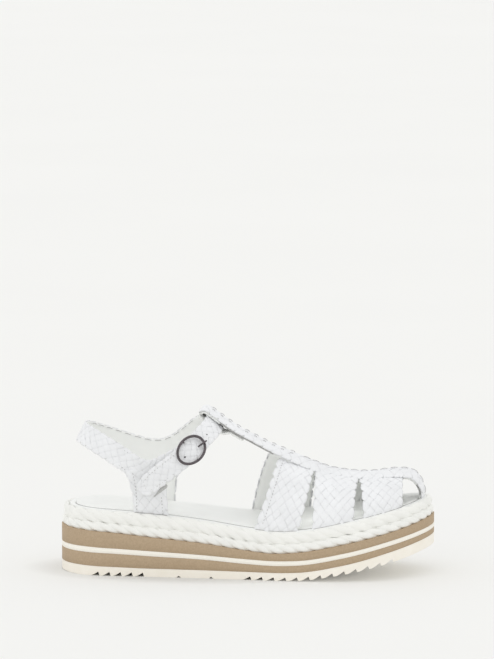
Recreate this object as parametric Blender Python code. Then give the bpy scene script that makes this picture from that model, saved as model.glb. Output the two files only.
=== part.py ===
"""Right-foot platform sandal: a woven strap upper on a layered wedge with two rows of rope round its edge.

Sizes are millimetres. `along` runs from the back of the heel (0) to the toe (SOLE_LENGTH), `y` is negative on
the outer (lateral) side and positive on the inner (medial) side, and `z` is the height above the floor.
Meshes are made in metres, with the origin on the floor under the middle of the sole.
"""

import math

import bmesh
import bpy
import numpy as np

MM = 0.001
GAP = 0.3
LATERAL, MEDIAL = -1, 1

# Sole: plan outline
SOLE_LENGTH = 258.5
HEEL_ROUND = 34.0
BALL_ALONG = 187.0
TOE_TIP_Y = 5.0
TOE_FULLNESS = {LATERAL: 2.1, MEDIAL: 2.5}
HEEL_STEPS, WAIST_STEPS, TOE_STEPS = 6, 14, 8

# Sole: rope welt and insole
ROPE_DEPTH = 5.2
ROPE_BULGE = 0.9
ROPE_SLANT = 0.9
ROPE_PITCH = {"rope_lower": 9.2, "rope_upper": 10.4}
ROPE_INSET = {"rope_lower": 0.4, "rope_upper": 1.3}
INSOLE_RISE = 1.6
INSOLE_DISH = 1.2
INSOLE_FLAT_WIDTH = 40.0
INSOLE_INSET = ROPE_DEPTH + GAP
STRAP_INSET = 7.4
NOTCH_INSET = 8.9
TOE_NOTCH_ALONG = 243.0
TOE_NOTCH_INSET = 10.8
NOTCH_MARGIN = 1.5
NOTCH_CORNER, NOTCH_CLEAR = 0.01, 1.0
NOTCH_SHARE = 0.86
SLOT_DEPTH = 4.5

# Tread: each notch climbs forward from the floor to an upright wall
TOOTH_NOTCH_LENGTH = 5.2
TOOTH_CLEAR = 1.0
HEEL_TEETH = {"first": 30.2, "pitch": 7.75, "count": 5, "depth": 2.8}
TOE_TEETH = {"first": 135.0, "pitch": 8.1, "count": 13, "depth": 2.4}
WAIST_GROOVES = {"places": (85.0, 107.5), "width": 3.2, "depth": 1.2}

# Upper: walls of the woven leather
STRAP_WALL = 1.7
STRAP_RELIEF = 0.5
TBAR_WALL, TBAR_SINK = 3.3, 1.4
TAB_WALL, TAB_SINK = 1.2, 0.5
TBAR_CROWN_RADIUS = 22.0
TBAR_TANGENT_REACH = 4.0
TBAR_EDGE_GIRTH = 4.0
EDGE_SCALLOP = 0.35
STRAP_COLUMNS = 8
TBAR_COLUMNS = 4

# Upper: loop at the top of the T-bar, which the ankle strap runs through
LOOP_DROP = 6.2
LOOP_LENGTH = 18.0
LOOP_TAB = 10.0
LOOP_RAMP = 6.0
TBAR_LEG_ROWS = {"ridge": 52, "fold": 8, "under": 6, "ramp": 2, "tab": 4}

# Quarter: posts, heel strap and ankle strap
HEEL_CENTRE = (58.0, 0.0, 74.0)
INSTEP_CENTRE = (84.0, 0.0, 77.0)
CENTRE_SHIFT_FROM, CENTRE_SHIFT_OVER = 40.0, 45.0
BAND_WALL = 1.8
BAND_COLUMNS, BAND_ROWS = 4, 104
POST_INSET = 7.1
POST_RECESS = 0.45
POST_COLUMNS, POST_ROWS = 6, 8
POST_FLARE = 1.5

# Buckle: an oval ring with a centre bar
RING_LENGTH, RING_WIDTH, RING_WIRE = 24.0, 18.8, 1.9
RING_SAG = 0.9
RING_STEPS, EYE_STEPS = 24, 9
BAR_WIRE, PRONG_WIRE = 1.5, 1.2
BAR_BEND, BAR_FLAT_SHARE = 0.9, 0.88
EYE_FROM, EYE_SWEEP = 20.0, 300.0
RING_BAND_PLACE = 0.858
PRONG_HOLE_AHEAD = 6.0
PRONG_ASIDE, PRONG_LEAN = 0.8, 0.2
PRONG_OVERHANG = 0.8
PRONG_HOLE_SIZE, PRONG_HOLE_REACH = 3.6, 4.0

# The prong between its eye and its tip: (ahead of the hole, out from the strap)
PRONG_RISE = [(-0.4, -1.4), (0.3, 1.5)]
PRONG_BEND_AHEAD, PRONG_BEND_DROP = 1.8, 0.5


class Table:
    """Rows of numbers under named columns, read between the rows along a smooth monotone curve."""

    def __init__(self, columns, rows):
        self.columns = columns.split()
        self.rows = np.array(rows, float)

    def at(self, column, place):
        knots = self.rows[:, 0]
        values = self.rows[:, self.columns.index(column)]
        steps = np.diff(knots)
        slopes = np.diff(values) / steps
        tangents = np.zeros(len(knots))
        tangents[0], tangents[-1] = slopes[0], slopes[-1]
        for i in range(1, len(slopes)):
            if slopes[i - 1] * slopes[i] > 0:
                tangents[i] = 2 / (1 / slopes[i - 1] + 1 / slopes[i])
        i = int(np.clip(np.searchsorted(knots, place) - 1, 0, len(steps) - 1))
        s = (float(np.clip(place, knots[0], knots[-1])) - knots[i]) / steps[i]
        rise = values[i] * (1 + 2 * s) * (1 - s) ** 2 + values[i + 1] * s * s * (3 - 2 * s)
        lean = tangents[i] * s * (1 - s) ** 2 + tangents[i + 1] * s * s * (s - 1)
        return float(rise + lean * steps[i])


# Heights of the sole's layers, read off the side of the shoe
SOLE = Table(
    "along ground outsole stripe_low stripe_high rope_low rope_mid rope_high",
    [
        (0, 0.5, 6.9, 16.2, 20.0, 31.9, 38.0, 46.0),
        (16, 0.0, 6.8, 16.1, 20.0, 31.3, 37.5, 45.3),
        (34, 0.0, 6.4, 15.7, 19.4, 30.3, 36.5, 44.4),
        (67, 0.0, 5.7, 14.2, 17.8, 27.2, 33.6, 42.2),
        (100, 0.0, 5.6, 13.0, 16.2, 24.2, 30.9, 38.9),
        (133, 0.0, 5.5, 10.9, 14.3, 20.0, 26.3, 34.2),
        (150, 0.0, 5.5, 10.3, 13.7, 18.6, 24.9, 32.6),
        (166, 0.4, 6.0, 10.9, 14.2, 19.6, 25.9, 33.2),
        (199, 5.2, 11.6, 16.6, 19.8, 25.8, 31.8, 39.4),
        (231, 12.4, 19.9, 24.4, 27.6, 33.3, 39.7, 46.8),
        (258.5, 20.6, 27.8, 31.5, 34.6, 41.2, 47.4, 53.6),
    ],
)

# Rise of the insole's medial edge above its lateral edge
INSOLE_MEDIAL = Table(
    "along rise", [(0, 0.8), (90, 1.2), (124, 2.2), (150, 3.8), (168, 4.6), (186, 3.0), (206, 1.2), (258.5, 1.2)]
)

# Half widths of the sole's plan between the round heel and the round toe
PLAN = Table(
    "along lateral medial",
    [
        (34, 34.0, 33.6),
        (70, 35.5, 31.8),
        (100, 37.5, 30.8),
        (130, 40.6, 33.8),
        (160, 44.2, 41.2),
        (187, 45.5, 45.5),
    ],
)

# Sections of the last under the T-bar: height of the ridge, where it lies across, and how full the sides are
LAST = Table(
    "along ridge_z ridge_y fullness",
    [
        (120, 98.6, 1.6, 2.0),
        (132, 91.0, 1.8, 2.0),
        (148, 82.3, 2.0, 1.9),
        (165, 76.9, 2.4, 1.9),
        (180, 71.8, 2.7, 1.95),
        (192, 68.3, 3.0, 2.0),
        (208, 66.4, 3.3, 2.1),
        (225, 67.3, 3.7, 2.2),
        (238, 68.0, 4.2, 2.3),
        (244, 66.7, 4.5, 2.3),
    ],
)

# Middle line of the T-bar, from the toe up to its loop
TBAR = [
    # along, y, z, half width
    (250.5, 5.0, 48.6, 6.6),
    (250.6, 4.9, 53.5, 7.2),
    (250.7, 4.9, 57.5, 8.2),
    (249.2, 4.8, 62.6, 10.0),
    (246.9, 4.6, 67.1, 11.8),
    (243.0, 4.4, 69.9, 12.7),
    (235.6, 4.1, 71.0, 13.0),
    (225.9, 3.7, 70.2, 12.7),
    (218.0, 3.5, 69.0, 12.1),
    (208.0, 3.3, 68.7, 11.8),
    (197.0, 3.1, 69.6, 11.8),
    (188.0, 2.9, 71.0, 12.3),
    (176.0, 2.6, 75.0, 13.0),
    (167.0, 2.4, 78.5, 13.0),
    (159.0, 2.3, 81.8, 12.5),
    (147.0, 2.0, 86.6, 11.2),
    (134.5, 1.8, 92.6, 10.2),
    (121.3, 1.6, 99.6, 9.8),
    (110.0, 1.5, 107.4, 9.6),
    (102.6, 1.5, 112.8, 9.6),
]

# The vamp straps: where their back and front edges lie along the shoe, and how far they bow forward half way
STRAPS = [
    # side, back at T-bar, back at sole, its bow, front at T-bar, front at sole, its bow, rows of the weave
    (LATERAL, 152.5, 135.7, 2.6, 175.4, 165.5, 2.4, 16),
    (LATERAL, 177.4, 177.5, 0.8, 206.3, 204.6, 0.0, 14),
    (LATERAL, 206.3, 212.8, 1.2, 236.8, 237.2, 0.0, 12),
    (MEDIAL, 146.5, 129.5, -1.4, 177.5, 168.5, 0.0, 16),
    (MEDIAL, 179.0, 177.0, 0.0, 208.5, 209.0, 0.0, 14),
    (MEDIAL, 210.0, 215.0, 0.0, 234.5, 232.5, 0.0, 12),
]

# The posts: rear and front edge at each share of the way from the band down to the sole
POSTS = {
    LATERAL: Table(
        "down rear front", [(0, 47.7, 76.6), (0.3, 51.3, 75.8), (0.6, 53.3, 76.2), (1, 53.7, 77.4)]
    ),
    MEDIAL: Table(
        "down rear front", [(0, 48.7, 83.7), (0.3, 52.1, 78.9), (0.6, 53.5, 76.5), (1, 53.7, 75.9)]
    ),
}
POST_TOP_Z = {LATERAL: 74.0, MEDIAL: 78.0}
POST_BAND_Y = {LATERAL: -31.3, MEDIAL: 30.4}

# Middle line of the band: tab under the buckle, heel strap, ankle strap over the instep, end past the buckle
BAND = [
    # along, y, z, half width
    (89.2, -29.9, 86.0, 5.6),
    (81.0, -31.0, 81.0, 6.4),
    (73.6, -31.4, 76.4, 7.1),
    (67.5, -31.6, 73.6, 7.3),
    (58.7, -31.4, 74.4, 7.3),
    (45.7, -30.0, 81.6, 7.3),
    (32.2, -26.0, 89.2, 7.0),
    (21.2, -17.5, 94.2, 6.9),
    (15.3, -7.5, 95.8, 6.8),
    (13.9, 0.0, 95.9, 6.8),
    (15.3, 7.5, 95.1, 6.8),
    (21.2, 17.0, 92.0, 6.9),
    (32.2, 25.3, 86.9, 7.2),
    (45.7, 29.4, 81.5, 7.6),
    (57.7, 30.4, 78.0, 8.0),
    (67.7, 30.5, 78.1, 8.2),
    (77.7, 29.6, 82.4, 8.0),
    (86.7, 27.2, 89.8, 7.7),
    (94.8, 22.6, 96.9, 7.4),
    (101.4, 16.2, 101.8, 7.1),
    (105.3, 9.0, 104.4, 7.0),
    (106.6, 1.5, 104.7, 7.0),
    (106.7, -6.0, 103.5, 7.0),
    (105.6, -13.5, 101.3, 7.0),
    (101.9, -21.0, 97.4, 6.9),
    (96.8, -28.0, 92.0, 6.9),
    (91.1, -33.2, 86.0, 6.9),
    (84.1, -35.4, 80.4, 6.9),
    (76.1, -36.4, 74.2, 7.0),
    (68.5, -36.8, 68.2, 6.8),
    (62.5, -36.8, 62.9, 6.0),
    (59.9, -36.8, 60.4, 4.6),
    (58.6, -36.8, 59.1, 2.6),
]

COLOURS = {
    # sRGB colour, roughness, metallic
    "cream_rubber": ((232, 226, 212), 0.62, 0.0),
    "tan_foam": ((176, 155, 127), 0.7, 0.0),
    "cream_foam": ((236, 231, 219), 0.68, 0.0),
    "white_rope": ((240, 240, 236), 0.75, 0.0),
    "white_lining": ((234, 234, 231), 0.5, 0.0),
    "white_leather": ((240, 241, 243), 0.45, 0.0),
    "dark_metal": ((78, 70, 74), 0.25, 1.0),
}


def clear_scene():
    for obj in list(bpy.data.objects):
        bpy.data.objects.remove(obj, do_unlink=True)


def make_collection(name):
    found = bpy.data.collections.new(name)
    bpy.context.scene.collection.children.link(found)
    return found


def make_material(name):
    (red, green, blue), roughness, metallic = COLOURS[name]
    material = bpy.data.materials.new(name)
    material.use_nodes = True
    shader = material.node_tree.nodes["Principled BSDF"]
    linear = [(channel / 255) ** 2.2 for channel in (red, green, blue)]
    shader.inputs["Base Color"].default_value = (*linear, 1)
    shader.inputs["Roughness"].default_value = roughness
    shader.inputs["Metallic"].default_value = metallic
    return material


def to_metres(point):
    return ((point[0] - SOLE_LENGTH / 2) * MM, point[1] * MM, point[2] * MM)


def make_solid(name, points, faces, material, collection):
    """A closed mesh object from points in millimetres, with doubled points merged and its faces turned out."""
    mesh = bpy.data.meshes.new(name)
    mesh.from_pydata([to_metres(p) for p in points], [], faces)
    work = bmesh.new()
    work.from_mesh(mesh)
    bmesh.ops.remove_doubles(work, verts=work.verts, dist=1e-7)
    bmesh.ops.recalc_face_normals(work, faces=work.faces)
    work.to_mesh(mesh)
    work.free()
    mesh.materials.append(material)
    obj = bpy.data.objects.new(name, mesh)
    collection.objects.link(obj)
    return obj


def make_helper(obj):
    obj.hide_render = True
    obj.display_type = "WIRE"


def join(target, others):
    """Joins other solids to the target with Boolean unions, and keeps them as helpers."""
    for other in others:
        union = target.modifiers.new("join_" + other.name, "BOOLEAN")
        union.operation = "UNION"
        union.object = other
        make_helper(other)


# Sole

def half_width(along, side, inset=0.0):
    """Distance from the middle line to the sole's edge, taken in by `inset` all round."""
    heel = HEEL_ROUND - inset
    toe = SOLE_LENGTH - BALL_ALONG - inset
    column = "lateral" if side == LATERAL else "medial"
    if along < HEEL_ROUND:
        share = max(0.0, 1 - ((HEEL_ROUND - along) / heel) ** 2)
        return (PLAN.at(column, HEEL_ROUND) - inset) * math.sqrt(share)
    if along <= BALL_ALONG:
        return PLAN.at(column, along) - inset
    reach = min(1.0, (along - BALL_ALONG) / toe)
    tip = TOE_TIP_Y * side
    share = (1 - reach ** TOE_FULLNESS[side]) ** 0.5
    return tip + (PLAN.at(column, BALL_ALONG) - inset - tip) * share


def plan_stations(inset=0.0):
    """Places along the sole that follow its round heel and toe closely."""
    quarter = math.pi / 2
    heel = [HEEL_ROUND - (HEEL_ROUND - inset) * math.cos(quarter * i / HEEL_STEPS) for i in range(HEEL_STEPS)]
    waist = list(np.linspace(HEEL_ROUND, BALL_ALONG, WAIST_STEPS, endpoint=False))
    reach = SOLE_LENGTH - BALL_ALONG - inset
    toe = [BALL_ALONG + reach * math.sin(quarter * i / TOE_STEPS) for i in range(TOE_STEPS + 1)]
    return heel + waist + toe


def ladder_solid(name, rungs, material, collection):
    """A closed solid from rungs across the sole: (along, y lateral, y medial, bottom, then the top across it)."""
    points, faces = [], []
    for along, y_lateral, y_medial, bottom, lateral_top, middle_top, medial_top in rungs:
        centre = (y_lateral + y_medial) / 2
        points += [
            (along, y_lateral, bottom),
            (along, y_lateral, lateral_top),
            (along, centre, middle_top),
            (along, y_medial, medial_top),
            (along, y_medial, bottom),
        ]
    ring = 5
    for i in range(len(rungs) - 1):
        for j in range(ring):
            a, b = i * ring + j, i * ring + (j + 1) % ring
            faces.append((a, b, b + ring, a + ring))
    last = (len(rungs) - 1) * ring
    faces += [tuple(range(ring)), tuple(range(last, last + ring))]
    return make_solid(name, points, faces, material, collection)


def make_layer(name, low, high, material, collection):
    """One flat-sided sheet of the wedge, between two height columns of the sole."""
    rungs = []
    for along in plan_stations():
        top = SOLE.at(high, along) - GAP
        rungs.append(
            (
                along,
                -half_width(along, LATERAL),
                half_width(along, MEDIAL),
                SOLE.at(low, along),
                top,
                top,
                top,
            )
        )
    return ladder_solid(name, rungs, material, collection)


def tread_notches():
    """Corners of the tread as (along, depth above the floor line), in order from heel to toe."""
    corners = []
    for row in (HEEL_TEETH, TOE_TEETH):
        for i in range(row["count"]):
            wall = row["first"] + row["pitch"] * i
            corners += [(wall - TOOTH_NOTCH_LENGTH, 0.0), (wall, row["depth"]), (wall, 0.0)]
    half = WAIST_GROOVES["width"] / 2
    for place in WAIST_GROOVES["places"]:
        corners += [(place - half, 0.0), (place, WAIST_GROOVES["depth"]), (place + half, 0.0)]
    return sorted(corners, key=lambda corner: corner[0])


def make_outsole(material, collection):
    corners = tread_notches()
    notch_places = [place for place, _ in corners]
    notch_depths = [depth for _, depth in corners]
    plain = [place for place in plan_stations() if min(abs(place - n) for n in notch_places) > TOOTH_CLEAR]
    profile = corners + [(place, float(np.interp(place, notch_places, notch_depths))) for place in plain]
    profile.sort(key=lambda corner: corner[0])
    rungs = []
    for along, depth in profile:
        top = SOLE.at("outsole", along) - GAP
        rungs.append(
            (
                along,
                -half_width(along, LATERAL),
                half_width(along, MEDIAL),
                SOLE.at("ground", along) + depth,
                top,
                top,
                top,
            )
        )
    return ladder_solid("outsole", rungs, material, collection)


def edge_line(samples=720):
    """The sole's edge as points once round, with the inward direction and the distance run at each."""
    side_places = []
    stations = plan_stations()
    for side in (LATERAL, MEDIAL):
        places = np.interp(np.linspace(0, len(stations) - 1, samples // 2), range(len(stations)), stations)
        row = [(place, side * half_width(place, side)) for place in places]
        side_places.append(row if side == LATERAL else row[::-1])
    line = np.array(side_places[0] + side_places[1][1:-1])
    ahead, behind = np.roll(line, -1, 0), np.roll(line, 1, 0)
    tangent = ahead - behind
    tangent /= np.linalg.norm(tangent, axis=1)[:, None]
    inward = np.stack([-tangent[:, 1], tangent[:, 0]], 1)
    run = np.concatenate([[0], np.cumsum(np.linalg.norm(ahead - line, axis=1))])
    return line, inward, run


def make_rope(name, low, high, material, collection):
    """One row of twisted rope round the edge: slanting strands that swell between valleys, flat at the back."""
    line, inward, run = edge_line()
    strands = round(run[-1] / ROPE_PITCH[name])
    pitch = run[-1] / strands
    section = Table(
        "place depth height swell",
        [
            (0, ROPE_DEPTH, 0.0, 0.0),
            (1, 2.4, 0.0, 0.8),
            (2, ROPE_INSET[name], 0.28, 1.0),
            (3, ROPE_INSET[name], 0.72, 1.0),
            (4, 2.8, 1.0, 0.8),
            (5, ROPE_DEPTH, 1.0, 0.0),
        ],
    ).rows
    points, faces = [], []
    count = 2 * strands
    closed_run = np.append(run[:-1], run[-1])
    loop = np.vstack([line, line[:1]])
    loop_inward = np.vstack([inward, inward[:1]])
    for i in range(count):
        valley = i % 2
        for _, depth, height, swell in section:
            lead = ROPE_SLANT * (1 - height) if depth < ROPE_DEPTH else ROPE_SLANT / 2
            place = ((i / 2 + lead) * pitch) % run[-1]
            at = np.array([np.interp(place, closed_run, loop[:, k]) for k in (0, 1)])
            towards = np.array([np.interp(place, closed_run, loop_inward[:, k]) for k in (0, 1)])
            along, y = at + towards * (depth + valley * swell * ROPE_BULGE)
            bottom, top = SOLE.at(low, at[0]), SOLE.at(high, at[0]) - GAP
            pinch = valley * swell * ROPE_BULGE * (0.5 - height)
            points.append((along, y, bottom + (top - bottom) * height + pinch))
    ring = len(section)
    for i in range(count):
        for j in range(ring):
            a, b = i * ring + j, i * ring + (j + 1) % ring
            shift = ring if i < count - 1 else -(count - 1) * ring
            faces.append((a, b, b + shift, a + shift))
    return make_solid(name, points, faces, material, collection)


def strap_edges(strap, q):
    """Where a strap's back and front edges lie along the shoe, at a share of the way down from the T-bar."""
    _, back_top, back_low, back_bow, front_top, front_low, front_bow, _ = strap
    bow = 4 * q * (1 - q)
    back = back_top + (back_low - back_top) * q + back_bow * bow
    front = front_top + (front_low - front_top) * q + front_bow * bow
    return back, front


def notch_spans():
    """Stretches of the insole's edge that a strap or post passes down beside, as (side, back, front)."""
    spans = []
    for strap in STRAPS:
        ends = [strap_edges(strap, q) for q in (NOTCH_SHARE, 1.0)]
        back = min(back for back, _ in ends)
        front = max(front for _, front in ends)
        spans.append((strap[0], back - NOTCH_MARGIN, front + NOTCH_MARGIN))
    for side, post in POSTS.items():
        _, rear, front = post.rows[-1]
        spans.append((side, rear - NOTCH_MARGIN, front + NOTCH_MARGIN))
    return spans


def insole_inset(along, side):
    """How far the insole stands in from the sole's edge: further in where a strap passes down beside it."""
    if along > TOE_NOTCH_ALONG:
        return TOE_NOTCH_INSET
    for notch_side, back, front in notch_spans():
        if notch_side == side and back <= along <= front:
            return NOTCH_INSET
    return INSOLE_INSET


def make_insole(material, collection):
    """The footbed, which fills the rope ring, with notches in its edge for the straps and posts."""
    steps = [TOE_NOTCH_ALONG]
    for _, back, front in notch_spans():
        steps += [back, front]
    plain = [place for place in plan_stations(INSOLE_INSET) if place < BALL_ALONG]
    plain += [place for place in plan_stations(TOE_NOTCH_INSET) if place >= BALL_ALONG]
    places = [place for place in plain if min(abs(place - step) for step in steps) > NOTCH_CLEAR]
    places += [step + shift for step in steps for shift in (-NOTCH_CORNER, NOTCH_CORNER)]
    end = SOLE_LENGTH - TOE_NOTCH_INSET
    rungs = []
    for along in sorted(places):
        sides = {}
        for side in (LATERAL, MEDIAL):
            inset = insole_inset(along, side)
            sides[side] = side * half_width(min(along, end), side, inset)
        bottom = SOLE.at("rope_low", along)
        edge = SOLE.at("rope_high", along) + INSOLE_RISE
        flat = min(1.0, (sides[MEDIAL] - sides[LATERAL]) / INSOLE_FLAT_WIDTH)
        rise = INSOLE_MEDIAL.at("rise", along) * flat
        middle = edge + rise / 2 - INSOLE_DISH * flat
        rungs.append((along, sides[LATERAL], sides[MEDIAL], bottom, edge, middle, edge + rise))
    return ladder_solid("insole", rungs, material, collection)


# Upper

def woven_shell(name, surface, columns, rows, inner, outer, relief, material, collection):
    """A wall on `surface(p, q)` whose outer face is a plain braid of raised strips and whose inner face is smooth.

    p and q run from 0 to 1 across and down the piece. Grid points alternate between the corners of the braid's
    diamonds, which lie low and are joined by valleys, and their middles, which stand up by `relief`. The side
    edges are scalloped by the same beat. `inner` and `outer` give the heights of the two faces at q.
    """

    def lifted(p, q, lift):
        step = 1e-3
        across = surface(min(p + step, 1), q) - surface(max(p - step, 0), q)
        down = surface(p, min(q + step, 1)) - surface(p, max(q - step, 0))
        normal = np.cross(down, across)
        return surface(p, q) + normal / np.linalg.norm(normal) * lift

    points, faces, outer_index, inner_index = [], [], {}, {}
    for i in range(columns + 1):
        for k in range(rows + 1):
            middle = (i + k) % 2
            p = i / columns
            place = lifted(p, k / rows, outer(k / rows) + relief * middle)
            if i in (0, columns) and k % 2:
                edge = surface(1, k / rows) - surface(0, k / rows)
                place = place + edge / np.linalg.norm(edge) * EDGE_SCALLOP * (1 if i else -1)
            outer_index[i, k] = len(points)
            points.append(place)
            if i % 2 == 0 and k % 2 == 0:
                inner_index[i, k] = len(points)
                points.append(lifted(p, k / rows, inner(k / rows)))
    for i in range(columns):
        for k in range(rows):
            a, b = outer_index[i, k], outer_index[i + 1, k]
            c, d = outer_index[i + 1, k + 1], outer_index[i, k + 1]
            if (i + k) % 2:
                faces += [(a, b, d), (b, c, d)]
            else:
                faces += [(a, b, c), (a, c, d)]
    for i in range(0, columns, 2):
        for k in range(0, rows, 2):
            faces.append(tuple(inner_index[n] for n in ((i, k), (i, k + 2), (i + 2, k + 2), (i + 2, k))))
    border = [(i, 0) for i in range(0, columns, 2)] + [(columns, k) for k in range(0, rows, 2)]
    border += [(i, rows) for i in range(columns, 0, -2)] + [(0, k) for k in range(rows, 0, -2)]
    for start, end in zip(border, border[1:] + border[:1]):
        half = ((start[0] + end[0]) // 2, (start[1] + end[1]) // 2)
        near, far = inner_index[start], inner_index[end]
        low, mid, high = outer_index[start], outer_index[half], outer_index[end]
        faces += [(near, far, mid), (near, mid, low), (far, high, mid)]
    return make_solid(name, points, faces, material, collection)


def last_section(along, side, samples=48):
    """Half a section of the last from the ridge down to the sole, as points and the girth run at each."""
    ridge_y, fullness = LAST.at("ridge_y", along), LAST.at("fullness", along)
    base_z = SOLE.at("rope_high", along) - SLOT_DEPTH
    base_y = side * half_width(along, side, STRAP_INSET)
    height = LAST.at("ridge_z", along) - base_z
    turn = np.linspace(0, math.pi / 2, samples)
    y = ridge_y + (base_y - ridge_y) * np.sin(turn) ** (2 / fullness)
    z = base_z + height * np.cos(turn) ** (2 / fullness)
    girth = np.concatenate([[0], np.cumsum(np.hypot(np.diff(y), np.diff(z)))])
    return y, z, girth


def strap_surface(strap):
    """Surface of a vamp strap on the last: p from its back edge to its front edge, q from T-bar to sole."""
    side = strap[0]

    def surface(p, q):
        back, front = strap_edges(strap, q)
        along = back + (front - back) * p
        y, z, girth = last_section(along, side)
        place = TBAR_EDGE_GIRTH + (girth[-1] - TBAR_EDGE_GIRTH) * q
        return np.array([along, np.interp(place, girth, y), np.interp(place, girth, z)])

    if side == LATERAL:
        return surface
    return lambda p, q: surface(1 - p, q)


def tbar_line():
    """Reads the T-bar's middle line at a distance up it from the toe, and gives the distance to the loop's fold."""
    rows = smooth_path(TBAR)
    run = np.concatenate([[0], np.cumsum(np.hypot(np.diff(rows[:, 0]), np.diff(rows[:, 2])))])

    def read(distance):
        return np.array([np.interp(distance, run, column) for column in rows.T])

    return read, run[-1]


def tbar_surface():
    """Surface of the T-bar: p across it, q from the toe up, round the loop's fold and back under the ankle strap."""
    line, run_end = tbar_line()
    fold = LOOP_DROP / 2
    tab_drop = TBAR_SINK + TAB_SINK + 2 * GAP
    legs = [run_end, math.pi * fold, LOOP_LENGTH, math.hypot(LOOP_RAMP, LOOP_DROP - tab_drop), LOOP_TAB]
    ends = np.concatenate([[0], np.cumsum(legs)])
    row_ends = np.concatenate([[0], np.cumsum(list(TBAR_LEG_ROWS.values()))])

    def profile(length):
        """Distance along the path and drop below it at a length of the folded strip."""
        if length <= ends[1]:
            return length, 0.0
        if length <= ends[2]:
            turn = (length - ends[1]) / fold
            return run_end + fold * math.sin(turn), fold - fold * math.cos(turn)
        if length <= ends[3]:
            return run_end - (length - ends[2]), LOOP_DROP
        if length <= ends[4]:
            share = (length - ends[3]) / (ends[4] - ends[3])
            return run_end - LOOP_LENGTH - LOOP_RAMP * share, LOOP_DROP + (tab_drop - LOOP_DROP) * share
        return run_end - LOOP_LENGTH - LOOP_RAMP - (length - ends[4]), tab_drop

    def surface(p, q):
        distance, drop = profile(float(np.interp(q * row_ends[-1], row_ends, ends)))
        middle, half = line(distance)[:3], line(distance)[3]
        forward = line(distance + TBAR_TANGENT_REACH)[:3] - line(distance - TBAR_TANGENT_REACH)[:3]
        forward[1] = 0.0
        forward /= np.linalg.norm(forward)
        upward = np.array([forward[2], 0.0, -forward[0]])
        offset = (0.5 - p) * 2 * half
        beyond = max(0.0, distance - run_end)
        sunk = offset * offset / (2 * TBAR_CROWN_RADIUS) + drop
        return middle + np.array([0.0, offset, 0.0]) + forward * beyond - upward * sunk

    return surface


def smooth_path(rows, samples=400):
    """A smooth curve through the rows of a path, evenly spaced by distance."""
    rows = np.array(rows, float)
    chord = np.concatenate([[0], np.cumsum(np.linalg.norm(np.diff(rows[:, :3], axis=0), axis=1))])
    tangents = np.gradient(rows, chord, axis=0)
    fine = np.linspace(0, chord[-1], samples)
    curve = []
    for place in fine:
        i = int(np.clip(np.searchsorted(chord, place) - 1, 0, len(rows) - 2))
        step = chord[i + 1] - chord[i]
        s = (place - chord[i]) / step
        curve.append(
            rows[i] * (1 + 2 * s) * (1 - s) ** 2
            + tangents[i] * step * s * (1 - s) ** 2
            + rows[i + 1] * s * s * (3 - 2 * s)
            + tangents[i + 1] * step * s * s * (s - 1)
        )
    return np.array(curve)


def band_frame():
    """Middle line of the band with its outward and upward directions, read at a share of its length."""
    curve = smooth_path(BAND)
    middle, half = curve[:, :3], curve[:, 3]
    tangent = np.gradient(middle, axis=0)
    tangent /= np.linalg.norm(tangent, axis=1)[:, None]
    instep_share = np.clip((middle[:, :1] - CENTRE_SHIFT_FROM) / CENTRE_SHIFT_OVER, 0, 1)
    centre = np.array(HEEL_CENTRE) * (1 - instep_share) + np.array(INSTEP_CENTRE) * instep_share
    outward = middle - centre
    outward -= np.sum(outward * tangent, 1)[:, None] * tangent
    outward /= np.linalg.norm(outward, axis=1)[:, None]
    upward = np.cross(outward, tangent)
    places = np.linspace(0, 1, len(curve))

    def read(share):
        values = [np.interp(share, places, column) for column in (*middle.T, *outward.T, *upward.T, half)]
        return np.array(values[:3]), np.array(values[3:6]), np.array(values[6:9]), values[9]

    return read


def band_surface():
    frame = band_frame()

    def surface(p, q):
        middle, _, upward, half = frame(q)
        return middle + upward * half * (2 * p - 1)

    return surface


def post_surface(side):
    """Surface of a post: p from rear to front, q from inside the band down to the slot beside the insole."""
    table = POSTS[side]

    def surface(p, q):
        rear, front = table.at("rear", q), table.at("front", q)
        along = rear + (front - rear) * p
        base_y = side * half_width(along, side, POST_INSET)
        base_z = SOLE.at("rope_high", along) - SLOT_DEPTH
        y = POST_BAND_Y[side] + (base_y - POST_BAND_Y[side]) * q**POST_FLARE
        return np.array([along, y, POST_TOP_Z[side] + (base_z - POST_TOP_Z[side]) * q])

    if side == LATERAL:
        return surface
    return lambda p, q: surface(1 - p, q)


def make_vamp(material, collection, helpers):
    rows = sum(TBAR_LEG_ROWS.values())
    fold_share = (TBAR_LEG_ROWS["ridge"] + TBAR_LEG_ROWS["fold"] / 2) / rows

    def tbar_inner(q):
        return -TBAR_SINK if q < fold_share else -TAB_SINK

    def tbar_outer(q):
        return TBAR_WALL - TBAR_SINK if q < fold_share else TAB_WALL - TAB_SINK

    vamp = woven_shell(
        "vamp", tbar_surface(), TBAR_COLUMNS, rows, tbar_inner, tbar_outer, STRAP_RELIEF, material, collection,
    )
    straps = []
    for number, strap in enumerate(STRAPS):
        straps.append(
            woven_shell(
                f"strap_{number}", strap_surface(strap), STRAP_COLUMNS, strap[-1], lambda q: 0.0,
                lambda q: STRAP_WALL - STRAP_RELIEF, STRAP_RELIEF, material, helpers,
            )
        )
    join(vamp, straps)
    return vamp


def make_quarter(material, collection, helpers):
    half = BAND_WALL / 2
    quarter = woven_shell(
        "quarter", band_surface(), BAND_COLUMNS, BAND_ROWS, lambda q: -half, lambda q: half - STRAP_RELIEF / 2,
        STRAP_RELIEF, material, collection,
    )
    posts = []
    for side, name in ((LATERAL, "post_lateral"), (MEDIAL, "post_medial")):
        posts.append(
            woven_shell(
                name, post_surface(side), POST_COLUMNS, POST_ROWS, lambda q: POST_RECESS - half,
                lambda q: half - POST_RECESS, STRAP_RELIEF / 2, material, helpers,
            )
        )
    join(quarter, posts)
    return quarter


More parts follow.
